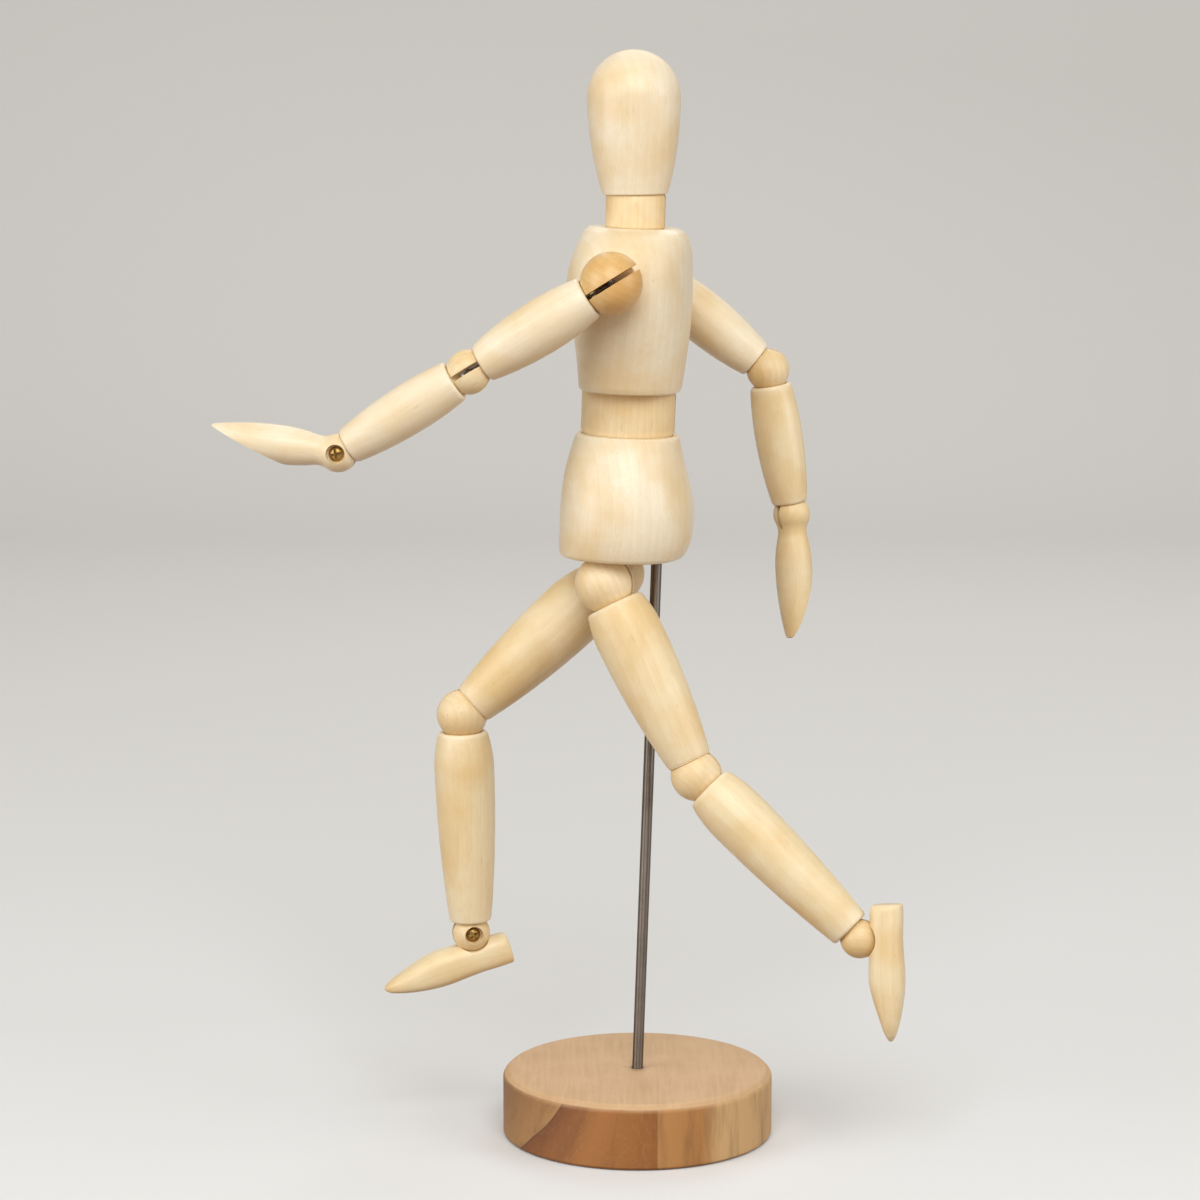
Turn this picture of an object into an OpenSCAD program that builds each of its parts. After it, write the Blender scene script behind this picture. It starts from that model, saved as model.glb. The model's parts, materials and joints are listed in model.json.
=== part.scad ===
// Posable wooden drawing figure on a round base.
// Turned limbs meet at slotted wooden balls. In every ball a steel stirrup carries a hook,
// and extension springs in the bored limbs pull each ball into its two cups.
// Origin: centre of the underside of the base. The figure faces -X, its left side is -Y.

/* [Base and rod] */
// diameter of the round base
base_d = 75; // [60:1:110]
// height of the round base
base_h = 18; // [12:1:26]
// bevel on the upper edge of the base
base_bevel = 1.6; // [0.5:0.1:3]
// diameter of the steel rod
rod_d = 3; // [2.4:0.1:3.6]
// free length of the rod between base and pelvis
rod_free = 144.4; // [120:1:180]
// lean of the rod towards the back of the figure
rod_lean = 2; // [0:0.5:4]
// turn of the figure on its rod
figure_turn = -8.5; // [-40:0.5:40]

/* [Torso] */
// height of the pelvis block
pelvis_h = 33.2; // [30:0.5:38]
// width of the pelvis block
pelvis_w = 44.6; // [44:0.2:48]
// depth of the pelvis block in front of its middle
pelvis_front = 17.35; // [17:0.05:19]
// depth of the pelvis block behind its middle
pelvis_back = 18.85; // [18:0.05:20]
// height of the chest block
chest_h = 43.9; // [41:0.5:50]
// width of the chest block
chest_w = 49.8; // [49:0.2:52]
// depth of the chest block in front of its middle
chest_front = 17.5; // [17:0.1:19]
// depth of the chest block behind its middle
chest_back = 16; // [16:0.1:18]
// radius of the waist barrel
waist_r = 12.8; // [12.2:0.1:13]
// radius of the round ends of the waist barrel
waist_ball_r = 13.7; // [13.5:0.1:14]
// height of the waist barrel that shows between pelvis and chest
waist_gap = 12; // [11:0.5:15]
// radius of the neck barrel
neck_r = 8.1; // [7.6:0.1:8.4]
// radius of the round ends of the neck barrel
neck_ball_r = 9; // [8.9:0.1:9.2]
// height of the neck barrel that shows between chest and head
neck_gap = 9; // [8:0.5:12]
// radius of the dome of the head
head_r = 12.6; // [11:0.1:14]
// radius of the lower end of the head
head_low_r = 8.8; // [8.7:0.1:9.4]
// length of the tapered part of the head
head_taper = 26; // [22:0.5:32]
// distance of a shoulder ball from the middle of the chest
shoulder_y = 31.5; // [31:0.25:32]
// height of the shoulder balls above the waist
shoulder_z = 36.8; // [35:0.1:37]
// distance of a hip ball from the middle of the pelvis
hip_y = 10; // [9.5:0.1:10.3]
// depth of the hip ball centres below the pelvis
hip_drop = 6.9; // [6.5:0.1:7.5]

/* [Balls] */
// radius of the shoulder balls
shoulder_r = 8.3; // [8:0.1:8.6]
// radius of the elbow balls
elbow_r = 6; // [5.8:0.1:6.2]
// radius of the round end of a hand
wrist_r = 5.2; // [5:0.1:5.4]
// radius of the hip balls
hip_r = 8.1; // [7.9:0.1:8.4]
// radius of the knee balls
knee_r = 7; // [6.8:0.1:7.3]
// radius of the ankle balls
ankle_r = 5.3; // [5.1:0.1:5.5]

/* [Limbs] */
// length of an upper arm between its rims
upper_arm_l = 33.5; // [30:0.5:42]
// length of a forearm between its rims
forearm_l = 33.8; // [30:0.5:42]
// length of a thigh between its rims
thigh_l = 47.4; // [44:0.5:58]
// length of a shin between its rims
shin_l = 53.8; // [46:0.5:60]
// radius of an upper arm at its widest place
upper_arm_r = 7.3; // [6.8:0.1:8]
// radius of a forearm at its widest place
forearm_r = 6.7; // [6.4:0.1:7.2]
// radius of a thigh at its widest place
thigh_r = 9.4; // [8.8:0.1:9.8]
// radius of a shin at its widest place
shin_r = 8.3; // [7.6:0.1:9]
// length of a foot from heel to toe
foot_l = 36.8; // [34:0.2:42]
// width of a foot
foot_w = 10.5; // [10:0.1:12]
// height of an ankle centre above the sole
sole_drop = 12; // [11:0.1:14]
// length of a hand from the wrist to its tip
hand_l = 35; // [32:0.5:40]
// slope of the flat palm
palm_slope = 20; // [17:0.5:21]

/* [Springs and hooks] */
// wire thickness of the springs
wire_d = 0.7; // [0.6:0.05:0.8]
// outer diameter of the spring coils
coil_d = 4.6; // [4.4:0.1:4.8]
// diameter of the bored channels for the springs
bore_d = 5.4; // [5.2:0.1:5.8]
// diameter of the cross pins
pin_d = 1; // [0.9:0.05:1.1]
// width of the saw slot in a ball
slot_w = 1.5; // [1.3:0.1:1.6]
// diameter of the shank of the wrist and ankle screws
screw_d = 1.8; // [1.6:0.1:2]
// diameter of the heads of the wrist and ankle screws
screw_head_d = 4; // [3.4:0.1:4.4]
// diameter of the counterbores for the screw heads
counterbore_d = 5.2; // [5:0.1:5.4]

/* [Clearances] */
// gap between a ball and its cup
cup_gap = 0.18; // [0.15:0.01:0.25]
// gap around the rod in its two holes
rod_gap = 0.05; // [0.03:0.01:0.08]
// gap around pins and shanks fixed in wood
fixed_gap = 0.03; // [0.02:0.01:0.05]
// gap between a ball and the end of a coil
coil_gap = 0.5; // [0.4:0.05:0.8]
// gap around swivelling shanks and hooks
swivel_gap = 0.2; // [0.15:0.01:0.25]

/* [Pose of the torso] */
// waist bend, forwards is positive
waist_bend = 0; // [-30:0.5:30]
// nod of the head, backwards is positive
neck_nod = -3; // [-25:0.5:25]

/* [Pose of the left limbs] */
// arm swing, forwards is positive
left_shoulder_swing = 56; // [-90:0.5:150]
// arm raised sideways
left_shoulder_raise = 2; // [0:0.5:90]
// turn of the upper arm about its length
left_upper_arm_turn = 85; // [-90:1:90]
// elbow bend
left_elbow_bend = 0; // [-55:0.5:55]
// turn of the forearm about its length
left_forearm_turn = -85; // [-90:1:90]
// wrist bend
left_wrist_bend = 39.5; // [-60:0.5:60]
// turn of the leg in the pelvis
left_hip_turn = 12.5; // [-40:0.5:40]
// leg swing, forwards is positive
left_hip_swing = -29.7; // [-45:0.1:60]
// turn of the thigh about its length
left_thigh_turn = -8; // [-60:0.5:60]
// knee bend, backwards is negative
left_knee_bend = -20; // [-55:0.5:55]
// turn of the shin about its length
left_shin_turn = -4; // [-60:0.5:60]
// ankle bend, toe down is negative
left_ankle_bend = -46.5; // [-60:0.5:40]

/* [Pose of the right limbs] */
// arm swing, forwards is positive
right_shoulder_swing = -53; // [-90:0.5:150]
// arm raised sideways
right_shoulder_raise = 4; // [0:0.5:90]
// turn of the upper arm about its length
right_upper_arm_turn = 0; // [-90:1:90]
// elbow bend
right_elbow_bend = 41.5; // [-55:0.5:55]
// turn of the forearm about its length
right_forearm_turn = 42; // [-90:1:90]
// wrist bend
right_wrist_bend = 9; // [-60:0.5:60]
// turn of the leg in the pelvis
right_hip_turn = 17; // [-40:0.5:40]
// leg swing, forwards is positive
right_hip_swing = 46; // [-45:0.1:60]
// turn of the thigh about its length
right_thigh_turn = 0; // [-60:0.5:60]
// knee bend, backwards is negative
right_knee_bend = -50; // [-55:0.5:55]
// turn of the shin about its length
right_shin_turn = 5; // [-60:0.5:60]
// ankle bend, toe down is negative
right_ankle_bend = -14.5; // [-60:0.5:40]

/* [Hidden] */
$fn = 48;
// facets of the long flat arcs of the turned outlines
arc_fn = 720;
// pose lists: shoulder swing, raise, arm turn, elbow, forearm turn, wrist
left_arm = [left_shoulder_swing, left_shoulder_raise, left_upper_arm_turn,
            left_elbow_bend, left_forearm_turn, left_wrist_bend];
right_arm = [right_shoulder_swing, right_shoulder_raise, right_upper_arm_turn,
             right_elbow_bend, right_forearm_turn, right_wrist_bend];
// pose lists: hip turn, swing, thigh turn, knee, shin turn, ankle
left_leg = [left_hip_turn, left_hip_swing, left_thigh_turn,
            left_knee_bend, left_shin_turn, left_ankle_bend];
right_leg = [right_hip_turn, right_hip_swing, right_thigh_turn,
             right_knee_bend, right_shin_turn, right_ankle_bend];

// distance from a ball centre to the rim of the limb that holds it
shoulder_rim = 6.9;
elbow_up_rim = 4.3;
elbow_low_rim = 4.2;
wrist_rim = 3.3;
hip_rim = 6;
knee_up_rim = 4.2;
knee_low_rim = 4.8;
ankle_rim = 3.5;
// radii of each limb at its two rims
upper_arm_ends = [5.8, 5.3];
forearm_ends = [5.7, 4.9];
thigh_ends = [7.9, 6.1];
shin_ends = [6.7, 5.8];
// distance of the widest place of each limb from its upper rim
upper_arm_belly = 14.5;
forearm_belly = 13.5;
thigh_belly = 10;
shin_belly = 10.5;
// rounding of the limb ends, and the width it takes beyond the rim
limb_edge = 0.9;
limb_edge_extra = 0.1;
// reach of a cut beyond the surface it opens
cut_over = 1;
// distance between the ball centres of each limb
upper_arm_c = shoulder_rim + upper_arm_l + elbow_up_rim;
forearm_c = elbow_low_rim + forearm_l + wrist_rim;
thigh_c = hip_rim + thigh_l + knee_up_rim;
shin_c = knee_low_rim + shin_l + ankle_rim;
// places in the torso
rod_x = 9.3;
rod_in_base = 14;
rod_in_pelvis = 18;
rod_hole_extra = 3;
rod_under = 0.5;
hip_x = -3.4;
foot_heel = 9;
shoulder_x = -1.4;
waist_half = waist_gap/2;
neck_half = neck_gap/2;
neck_z = waist_half + chest_h + neck_half;
head_dome_z = neck_half + head_taper;
// wire hooks
wire_r = wire_d/2;
pin_r = pin_d/2;
hook_r = pin_r + swivel_gap + wire_r;
screw_hook_r = screw_d/2 + swivel_gap + wire_r;
// stirrup that hangs in a ball
prong_y = 1.4;
prong_z = 3;
// swivel head and the spring flange over it
swivel_head_r = 1.15;
swivel_head_h = 0.8;
flange_h = 0.8;
plug_h = 2;
hip_stud_rise = 17.5;
// place of a screw seat and of a screw tip, as shares of the ball radius
screw_seat = 0.5;
screw_tip = 0.75;
// angle of wood left beside the slot on the stirrup side
web_angle = 50;
wood = [0.93, 0.82, 0.62];
ball_wood = [0.90, 0.72, 0.47];
base_wood = [0.75, 0.58, 0.38];
steel = [0.72, 0.73, 0.75];
brass = [0.72, 0.58, 0.30];

// Placement of each member, nested as the joints are

module on_rod() {
    translate([0, 0, base_h])
        rotate([0, rod_lean, 0])
            children();
}

module in_pelvis() {
    on_rod()
        translate([0, 0, rod_free])
            rotate([0, 0, figure_turn])
                translate([-rod_x, 0, 0])
                    children();
}

module in_waist() {
    in_pelvis()
        translate([0, 0, pelvis_h + waist_half])
            children();
}

module in_chest() {
    in_waist()
        rotate([0, waist_bend, 0])
            children();
}

module in_neck() {
    in_chest()
        translate([0, 0, neck_z])
            children();
}

module in_head() {
    in_neck()
        rotate([0, neck_nod, 0])
            children();
}

module in_shoulder(side, pose) {
    in_chest()
        translate([shoulder_x, side*shoulder_y, shoulder_z])
            rotate([0, pose[0], 0])
                children();
}

module in_arm_hook(side, pose) {
    in_shoulder(side, pose)
        rotate([side*pose[1], 0, 0])
            children();
}

module in_upper_arm(side, pose) {
    in_arm_hook(side, pose)
        rotate([0, 0, pose[2]])
            children();
}

module in_elbow(side, pose) {
    in_upper_arm(side, pose)
        translate([0, 0, -upper_arm_c])
            rotate([0, pose[3], 0])
                children();
}

module in_forearm(side, pose) {
    in_elbow(side, pose)
        rotate([0, 0, pose[4]])
            children();
}

module in_hand(side, pose) {
    in_forearm(side, pose)
        translate([0, 0, -forearm_c])
            rotate([0, pose[5], 0])
                children();
}

module in_hip_spring(side, pose) {
    in_pelvis()
        translate([hip_x, side*hip_y, -hip_drop])
            rotate([0, 0, side*pose[0]])
                children();
}

module in_hip(side, pose) {
    in_hip_spring(side, pose)
        rotate([0, pose[1], 0])
            children();
}

module in_thigh(side, pose) {
    in_hip(side, pose)
        rotate([0, 0, side*pose[2]])
            children();
}

module in_knee(side, pose) {
    in_thigh(side, pose)
        translate([0, 0, -thigh_c])
            rotate([0, pose[3], 0])
                children();
}

module in_shin(side, pose) {
    in_knee(side, pose)
        rotate([0, 0, side*pose[4]])
            children();
}

module in_foot(side, pose) {
    in_shin(side, pose)
        translate([0, 0, -shin_c])
            rotate([0, pose[5], 0])
                children();
}

// Wire parts

// round wire eye about the Y axis at the origin
module eye(r) {
    rotate([90, 0, 0])
        rotate_extrude()
            translate([r, 0])
                circle(r = wire_r);
}

// steel stirrup: cross pin along Y, two prongs and a swivel shank towards -Z
module stirrup(ball_r, shank_l, grow = 0) {
    pin_half = ball_r*0.8;
    r = pin_r + grow;
    rotate([90, 0, 0])
        cylinder(r = r, h = 2*(pin_half + grow), center = true);
    for (y = [-prong_y, prong_y])
        translate([0, y, -prong_z])
            cylinder(r = wire_r + grow, h = prong_z);
    translate([0, 0, -prong_z])
        rotate([90, 0, 0])
            cylinder(r = r, h = 2*(prong_y + wire_r + grow), center = true);
    translate([0, 0, -shank_l])
        cylinder(r = wire_r + grow, h = shank_l - prong_z);
    translate([0, 0, -shank_l])
        cylinder(r = swivel_head_r, h = swivel_head_h);
}

// close-wound coil from z_top down to z_low with a flange at one or both ends
module coil(z_top, z_low, top_hole, low_hole) {
    inner_r = coil_d/2 - wire_d;
    difference() {
        translate([0, 0, z_low])
            cylinder(d = coil_d, h = z_top - z_low);
        translate([0, 0, z_low + flange_h])
            cylinder(r = inner_r, h = z_top - z_low - 2*flange_h);
        if (top_hole)
            translate([0, 0, z_top - 2*flange_h])
                cylinder(r = wire_r + swivel_gap, h = 3*flange_h);
        if (low_hole)
            translate([0, 0, z_low - flange_h])
                cylinder(r = wire_r + swivel_gap, h = 3*flange_h);
    }
}

// straight wire with an eye at the origin, reaching up or down to a coil end
module hook(z_end, eye_r) {
    up = z_end > 0;
    eye(eye_r);
    translate([0, 0, up ? eye_r : z_end])
        cylinder(r = wire_r, h = abs(z_end) - eye_r);
}

// spring of a limb: swivel flange at the upper end, hook at the lower ball
module limb_spring(upper_r, lower_r, length, eye_r) {
    z_top = -upper_r - coil_gap;
    z_low = -length + lower_r + coil_gap;
    color(steel) {
        coil(z_top, z_low, true, false);
        translate([0, 0, -length])
            hook(length + z_low + flange_h/2, eye_r);
    }
}

// length of a stirrup shank whose head hangs behind the flange of the next spring
function shank_length(ball_r) = ball_r + coil_gap + flange_h + swivel_gap + swivel_head_h;

// Wooden parts

// plain ball with a saw slot on the hook side (+Z) and a hole for its stirrup
module joint_ball(r, shank_l) {
    color(ball_wood)
        difference() {
            sphere(r = r, $fn = 96);
            ball_slot(r, hook_r);
            stirrup(r, shank_l, fixed_gap);
        }
}

// saw slot in the XZ plane, leaving a web of wood around -Z clear of the hook eye
module ball_slot(r, eye_r) {
    apex = (eye_r + wire_r + swivel_gap)/sin(web_angle);
    side = 2*r*tan(web_angle);
    rotate([90, 0, 0])
        linear_extrude(slot_w, center = true)
            difference() {
                circle(r = r + cut_over);
                polygon([[0, -apex], [-side, -apex - 2*r], [side, -apex - 2*r]]);
            }
}

// outline of a barrel from z = 0 down to -length, widest at depth s
module barrel_outline(r_top, r_max, r_low, s, length) {
    top_arc = (s*s + pow(r_max - r_top, 2))/(2*(r_max - r_top));
    low = length - s;
    low_arc = (low*low + pow(r_max - r_low, 2))/(2*(r_max - r_low));
    intersection() {
        translate([r_max - top_arc, -s])
            circle(r = top_arc, $fn = arc_fn);
        translate([0, -s])
            square([r_max, s]);
    }
    intersection() {
        translate([r_max - low_arc, -s])
            circle(r = low_arc, $fn = arc_fn);
        translate([0, -length])
            square([r_max, low]);
    }
}

// ring that rounds the end of a barrel
module end_round(r, z, round_r, up) {
    s = up ? 1 : -1;
    difference() {
        translate([r - round_r, up ? z - round_r : z])
            square([round_r + cut_over, round_r]);
        translate([r - round_r, z - s*round_r])
            circle(r = round_r);
    }
}

// turned limb hanging from the ball centre at the origin to the next ball centre
// size: top radius, widest radius, lower radius, depth of the widest place, length
module limb(size, rims, balls) {
    rim = rims[0];
    length = size[4];
    color(wood)
        difference() {
            rotate_extrude()
                difference() {
                    translate([0, -rim])
                        barrel_outline(size[0], size[1], size[2], size[3], length);
                    end_round(size[0] + limb_edge_extra, -rim, limb_edge, true);
                    end_round(size[2] + limb_edge_extra, -rim - length, limb_edge, false);
                }
            sphere(r = balls[0] + cup_gap, $fn = 96);
            translate([0, 0, -rim - length - rims[1]])
                sphere(r = balls[1] + cup_gap, $fn = 96);
            translate([0, 0, -rim - length - cut_over])
                cylinder(d = bore_d, h = length + 2*cut_over);
        }
}

// point of a rounded section: front towards -X, back towards +X, half width along Y
function section_point(a, front, back, half, power) =
    let (c = cos(a), s = sin(a), depth = c < 0 ? front : back)
    [sign(c)*depth*pow(abs(c), 2/power), sign(s)*half*pow(abs(s), 2/power)];

// solid through a grid of points, n in each section
module loft(points, n) {
    rows = len(points)/n;
    sides = [for (k = [0:rows - 2]) for (i = [0:n - 1]) for (t = [0, 1])
        let (j = (i + 1)%n, a = k*n, b = (k + 1)*n)
        t == 0 ? [a + i, b + i, b + j] : [a + i, b + j, a + j]];
    bottom = [for (i = [0:n - 1]) i];
    top = [for (i = [n - 1:-1:0]) (rows - 1)*n + i];
    polyhedron(points, concat([bottom], sides, [top]), convexity = 4);
}

// block through upright sections, each row a share of height, front, back and half width
module carved_block(rows, size, power, n = 40) {
    loft([for (row = rows) for (i = [0:n - 1])
        let (p = section_point(360*i/n, row[1]*size[1], row[2]*size[2], row[3]*size[3], power))
        [p[0], p[1], row[0]*size[0]]], n);
}

module base() {
    foot_bevel = 0.6;
    r = base_d/2;
    color(base_wood)
        difference() {
            rotate_extrude($fn = 96)
                polygon([[0, 0], [r - foot_bevel, 0], [r, foot_bevel], [r, base_h - base_bevel],
                    [r - base_bevel, base_h], [0, base_h]]);
            on_rod()
                translate([0, 0, -rod_in_base - rod_under])
                    cylinder(d = rod_d + 2*rod_gap, h = rod_in_base + rod_under + cut_over);
        }
}

module stand_rod() {
    chamfer = 0.4;
    r = rod_d/2;
    length = rod_in_base + rod_free + rod_in_pelvis;
    color(steel)
        on_rod()
            translate([0, 0, -rod_in_base])
                rotate_extrude()
                    polygon([[0, 0], [r - chamfer, 0], [r, chamfer], [r, length - chamfer],
                        [r - chamfer, length], [0, length]]);
}

// sections of the pelvis from its flat underside upwards, as shares of its sizes
pelvis_rows = [[0, 0.965, 0.84, 0.88], [0.008, 0.985, 0.868, 0.9],
    [0.027, 0.995, 0.9, 0.92], [0.06, 0.999, 0.928, 0.94], [0.108, 1, 0.96, 0.963],
    [0.181, 1, 0.987, 0.987], [0.271, 0.997, 1, 1], [0.361, 0.994, 1, 1],
    [0.482, 0.986, 0.971, 0.978], [0.602, 0.968, 0.918, 0.937], [0.723, 0.934, 0.859, 0.879],
    [0.843, 0.882, 0.801, 0.807], [0.934, 0.836, 0.764, 0.735], [0.985, 0.804, 0.743, 0.686],
    [1, 0.778, 0.721, 0.659]];

module pelvis() {
    color(wood)
        in_pelvis()
            difference() {
                carved_block(pelvis_rows, [pelvis_h, pelvis_front, pelvis_back, pelvis_w/2], 2.3);
                translate([0, 0, pelvis_h + waist_half])
                    sphere(r = waist_ball_r + cup_gap, $fn = 96);
                translate([0, 0, pelvis_h + waist_half - waist_stud_z - plug_h - fixed_gap])
                    cylinder(d = bore_d, h = waist_stud_z);
                for (side = [-1, 1])
                    translate([hip_x, side*hip_y, -hip_drop]) {
                        sphere(r = hip_r + cup_gap, $fn = 96);
                        cylinder(d = bore_d, h = hip_stud_z + plug_h + fixed_gap);
                    }
                translate([rod_x, 0, -cut_over])
                    cylinder(d = rod_d + 2*rod_gap, h = rod_in_pelvis + rod_hole_extra + cut_over);
            }
}

// plug with a headed stud, glued in the blind end of a bore, hanging towards -Z
module stud() {
    stud_l = swivel_gap + flange_h + swivel_gap + swivel_head_h;
    cylinder(d = bore_d - 2*fixed_gap, h = plug_h);
    translate([0, 0, -stud_l])
        cylinder(r = wire_r, h = stud_l + plug_h/2);
    translate([0, 0, -stud_l])
        cylinder(r = swivel_head_r, h = swivel_head_h);
}

// height of the hip plug above the hip ball centre, and of the waist plug below the waist ball
hip_stud_z = hip_drop + hip_stud_rise;
waist_stud_z = 26;

module pelvis_studs() {
    color(brass) {
        in_waist()
            translate([0, 0, -waist_stud_z])
                rotate([180, 0, 0])
                    stud();
        for (side = [-1, 1])
            in_pelvis()
                translate([hip_x, side*hip_y, -hip_drop + hip_stud_z])
                    stud();
    }
}

module waist_spring() {
    color(steel)
        in_waist() {
            coil(-waist_ball_r - coil_gap, -waist_stud_z + swivel_gap, false, true);
            hook(-waist_ball_r - coil_gap - flange_h/2, hook_r);
        }
}

module hip_spring(side, pose) {
    color(steel)
        in_hip_spring(side, pose) {
            coil(hip_stud_z - swivel_gap, hip_r + coil_gap, true, false);
            hook(hip_r + coil_gap + flange_h/2, hook_r);
        }
}

// barrel with two round ends, a slot on the hook side (+Z) and a stirrup hole opposite
module torso_barrel(r, ball_r, shank_l) {
    color(ball_wood)
        difference() {
            intersection() {
                sphere(r = ball_r, $fn = 96);
                cylinder(r = r, h = 2*ball_r, center = true, $fn = 96);
            }
            ball_slot(ball_r, hook_r);
            stirrup(ball_r, shank_l, fixed_gap);
        }
}

waist_shank = shank_length(waist_ball_r);
neck_shank = shank_length(neck_ball_r);

module waist_ball() {
    in_chest()
        rotate([180, 0, 0])
            torso_barrel(waist_r, waist_ball_r, waist_shank);
}

module waist_stirrup() {
    color(steel)
        in_chest()
            rotate([180, 0, 0])
                stirrup(waist_ball_r, waist_shank);
}

// sections of the chest from its lower rim upwards, as shares of its sizes
chest_rows = [[0, 0.743, 0.85, 0.667], [0.008, 0.766, 0.875, 0.687], [0.025, 0.777, 0.887, 0.703],
    [0.114, 0.794, 0.919, 0.751], [0.205, 0.823, 0.944, 0.803], [0.319, 0.869, 0.975, 0.867],
    [0.433, 0.926, 0.994, 0.924], [0.547, 0.977, 1, 0.972], [0.638, 1, 0.994, 0.996],
    [0.706, 0.991, 0.988, 1], [0.774, 0.96, 0.981, 0.984], [0.843, 0.909, 0.969, 0.932],
    [0.9, 0.857, 0.944, 0.851], [0.945, 0.811, 0.9, 0.747], [0.979, 0.766, 0.838, 0.627],
    [1, 0.709, 0.75, 0.506]];

module chest() {
    color(wood)
        in_chest()
            difference() {
                translate([0, 0, waist_half])
                    carved_block(chest_rows, [chest_h, chest_front, chest_back, chest_w/2], 2.25);
                sphere(r = waist_ball_r + cup_gap, $fn = 96);
                translate([0, 0, neck_z])
                    sphere(r = neck_ball_r + cup_gap, $fn = 96);
                cylinder(d = bore_d, h = neck_z);
                translate([shoulder_x, 0, shoulder_z])
                    rotate([90, 0, 0])
                        cylinder(d = bore_d, h = 2*shoulder_y, center = true);
                for (side = [-1, 1])
                    translate([shoulder_x, side*shoulder_y, shoulder_z])
                        sphere(r = shoulder_r + cup_gap, $fn = 96);
            }
}

// spring of the spine: two coils and a straight length of wire past the shoulder spring
module spine_spring() {
    low = waist_ball_r + coil_gap;
    high = neck_z - neck_ball_r - coil_gap;
    below = shoulder_z - bore_d/2 - coil_gap;
    above = shoulder_z + bore_d/2 + coil_gap;
    color(steel)
        in_chest() {
            coil(below, low, false, true);
            coil(high, above, true, false);
            translate([coil_d/2 - wire_r, 0, below - flange_h])
                cylinder(r = wire_r, h = above - below + 2*flange_h);
        }
}

module shoulder_spring() {
    half = shoulder_y - shoulder_r - coil_gap;
    color(steel)
        in_chest()
            translate([shoulder_x, 0, shoulder_z])
                rotate([90, 0, 0])
                    coil(half, -half, true, true);
}

module neck_ball() {
    in_neck()
        torso_barrel(neck_r, neck_ball_r, neck_shank);
}

module neck_stirrup() {
    color(steel)
        in_neck()
            stirrup(neck_ball_r, neck_shank);
}

module head() {
    arc = (head_taper*head_taper + pow(head_r - head_low_r, 2))/(2*(head_r - head_low_r));
    color(wood)
        in_head()
            difference() {
                rotate_extrude($fn = 96) {
                    intersection() {
                        translate([0, head_dome_z])
                            circle(r = head_r, $fn = 96);
                        translate([0, head_dome_z])
                            square([head_r, head_r]);
                    }
                    intersection() {
                        translate([head_r - arc, head_dome_z])
                            circle(r = arc, $fn = arc_fn);
                        translate([0, neck_half])
                            square([head_r, head_taper]);
                    }
                }
                sphere(r = neck_ball_r + cup_gap, $fn = 96);
                cylinder(d = bore_d, h = head_dome_z);
            }
}

// spring of the head, with a plug in the blind end of its bore
module head_spring() {
    low = neck_ball_r + coil_gap;
    high = head_dome_z - plug_h;
    color(steel)
        in_head() {
            coil(high, low, false, false);
            hook(low + flange_h/2, hook_r);
            translate([0, 0, high - flange_h/2])
                cylinder(d = bore_d - 2*fixed_gap, h = plug_h);
        }
}

// Arms

shoulder_shank = shank_length(shoulder_r);
elbow_shank = shank_length(elbow_r);

// turns the stirrup so that its shank points at the chest and its pin lies along X
module to_chest(side) {
    rotate([-side*90, 0, 0])
        rotate([0, 0, 90])
            children();
}

module shoulder_ball(side, pose) {
    in_shoulder(side, pose)
        to_chest(side)
            joint_ball(shoulder_r, shoulder_shank);
}

module shoulder_stirrup(side, pose) {
    color(steel)
        in_shoulder(side, pose)
            to_chest(side)
                stirrup(shoulder_r, shoulder_shank);
}

module arm_hook(side, pose) {
    color(steel)
        in_arm_hook(side, pose) {
            rotate([0, 0, 90])
                eye(hook_r);
            translate([0, 0, -shoulder_shank])
                cylinder(r = wire_r, h = shoulder_shank - hook_r);
            translate([0, 0, -shoulder_shank])
                cylinder(r = swivel_head_r, h = swivel_head_h);
        }
}

module upper_arm(side, pose) {
    in_upper_arm(side, pose)
        limb([upper_arm_ends[0], upper_arm_r, upper_arm_ends[1], upper_arm_belly, upper_arm_l],
            [shoulder_rim, elbow_up_rim], [shoulder_r, elbow_r]);
}

module upper_arm_spring(side, pose) {
    in_upper_arm(side, pose)
        limb_spring(shoulder_r, elbow_r, upper_arm_c, hook_r);
}

module elbow_ball(side, pose) {
    in_elbow(side, pose)
        joint_ball(elbow_r, elbow_shank);
}

module elbow_stirrup(side, pose) {
    color(steel)
        in_elbow(side, pose)
            stirrup(elbow_r, elbow_shank);
}

module forearm(side, pose) {
    in_forearm(side, pose)
        limb([forearm_ends[0], forearm_r, forearm_ends[1], forearm_belly, forearm_l],
            [elbow_low_rim, wrist_rim], [elbow_r, wrist_r]);
}

module forearm_spring(side, pose) {
    in_forearm(side, pose)
        limb_spring(elbow_r, wrist_r, forearm_c, screw_hook_r);
}

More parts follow.
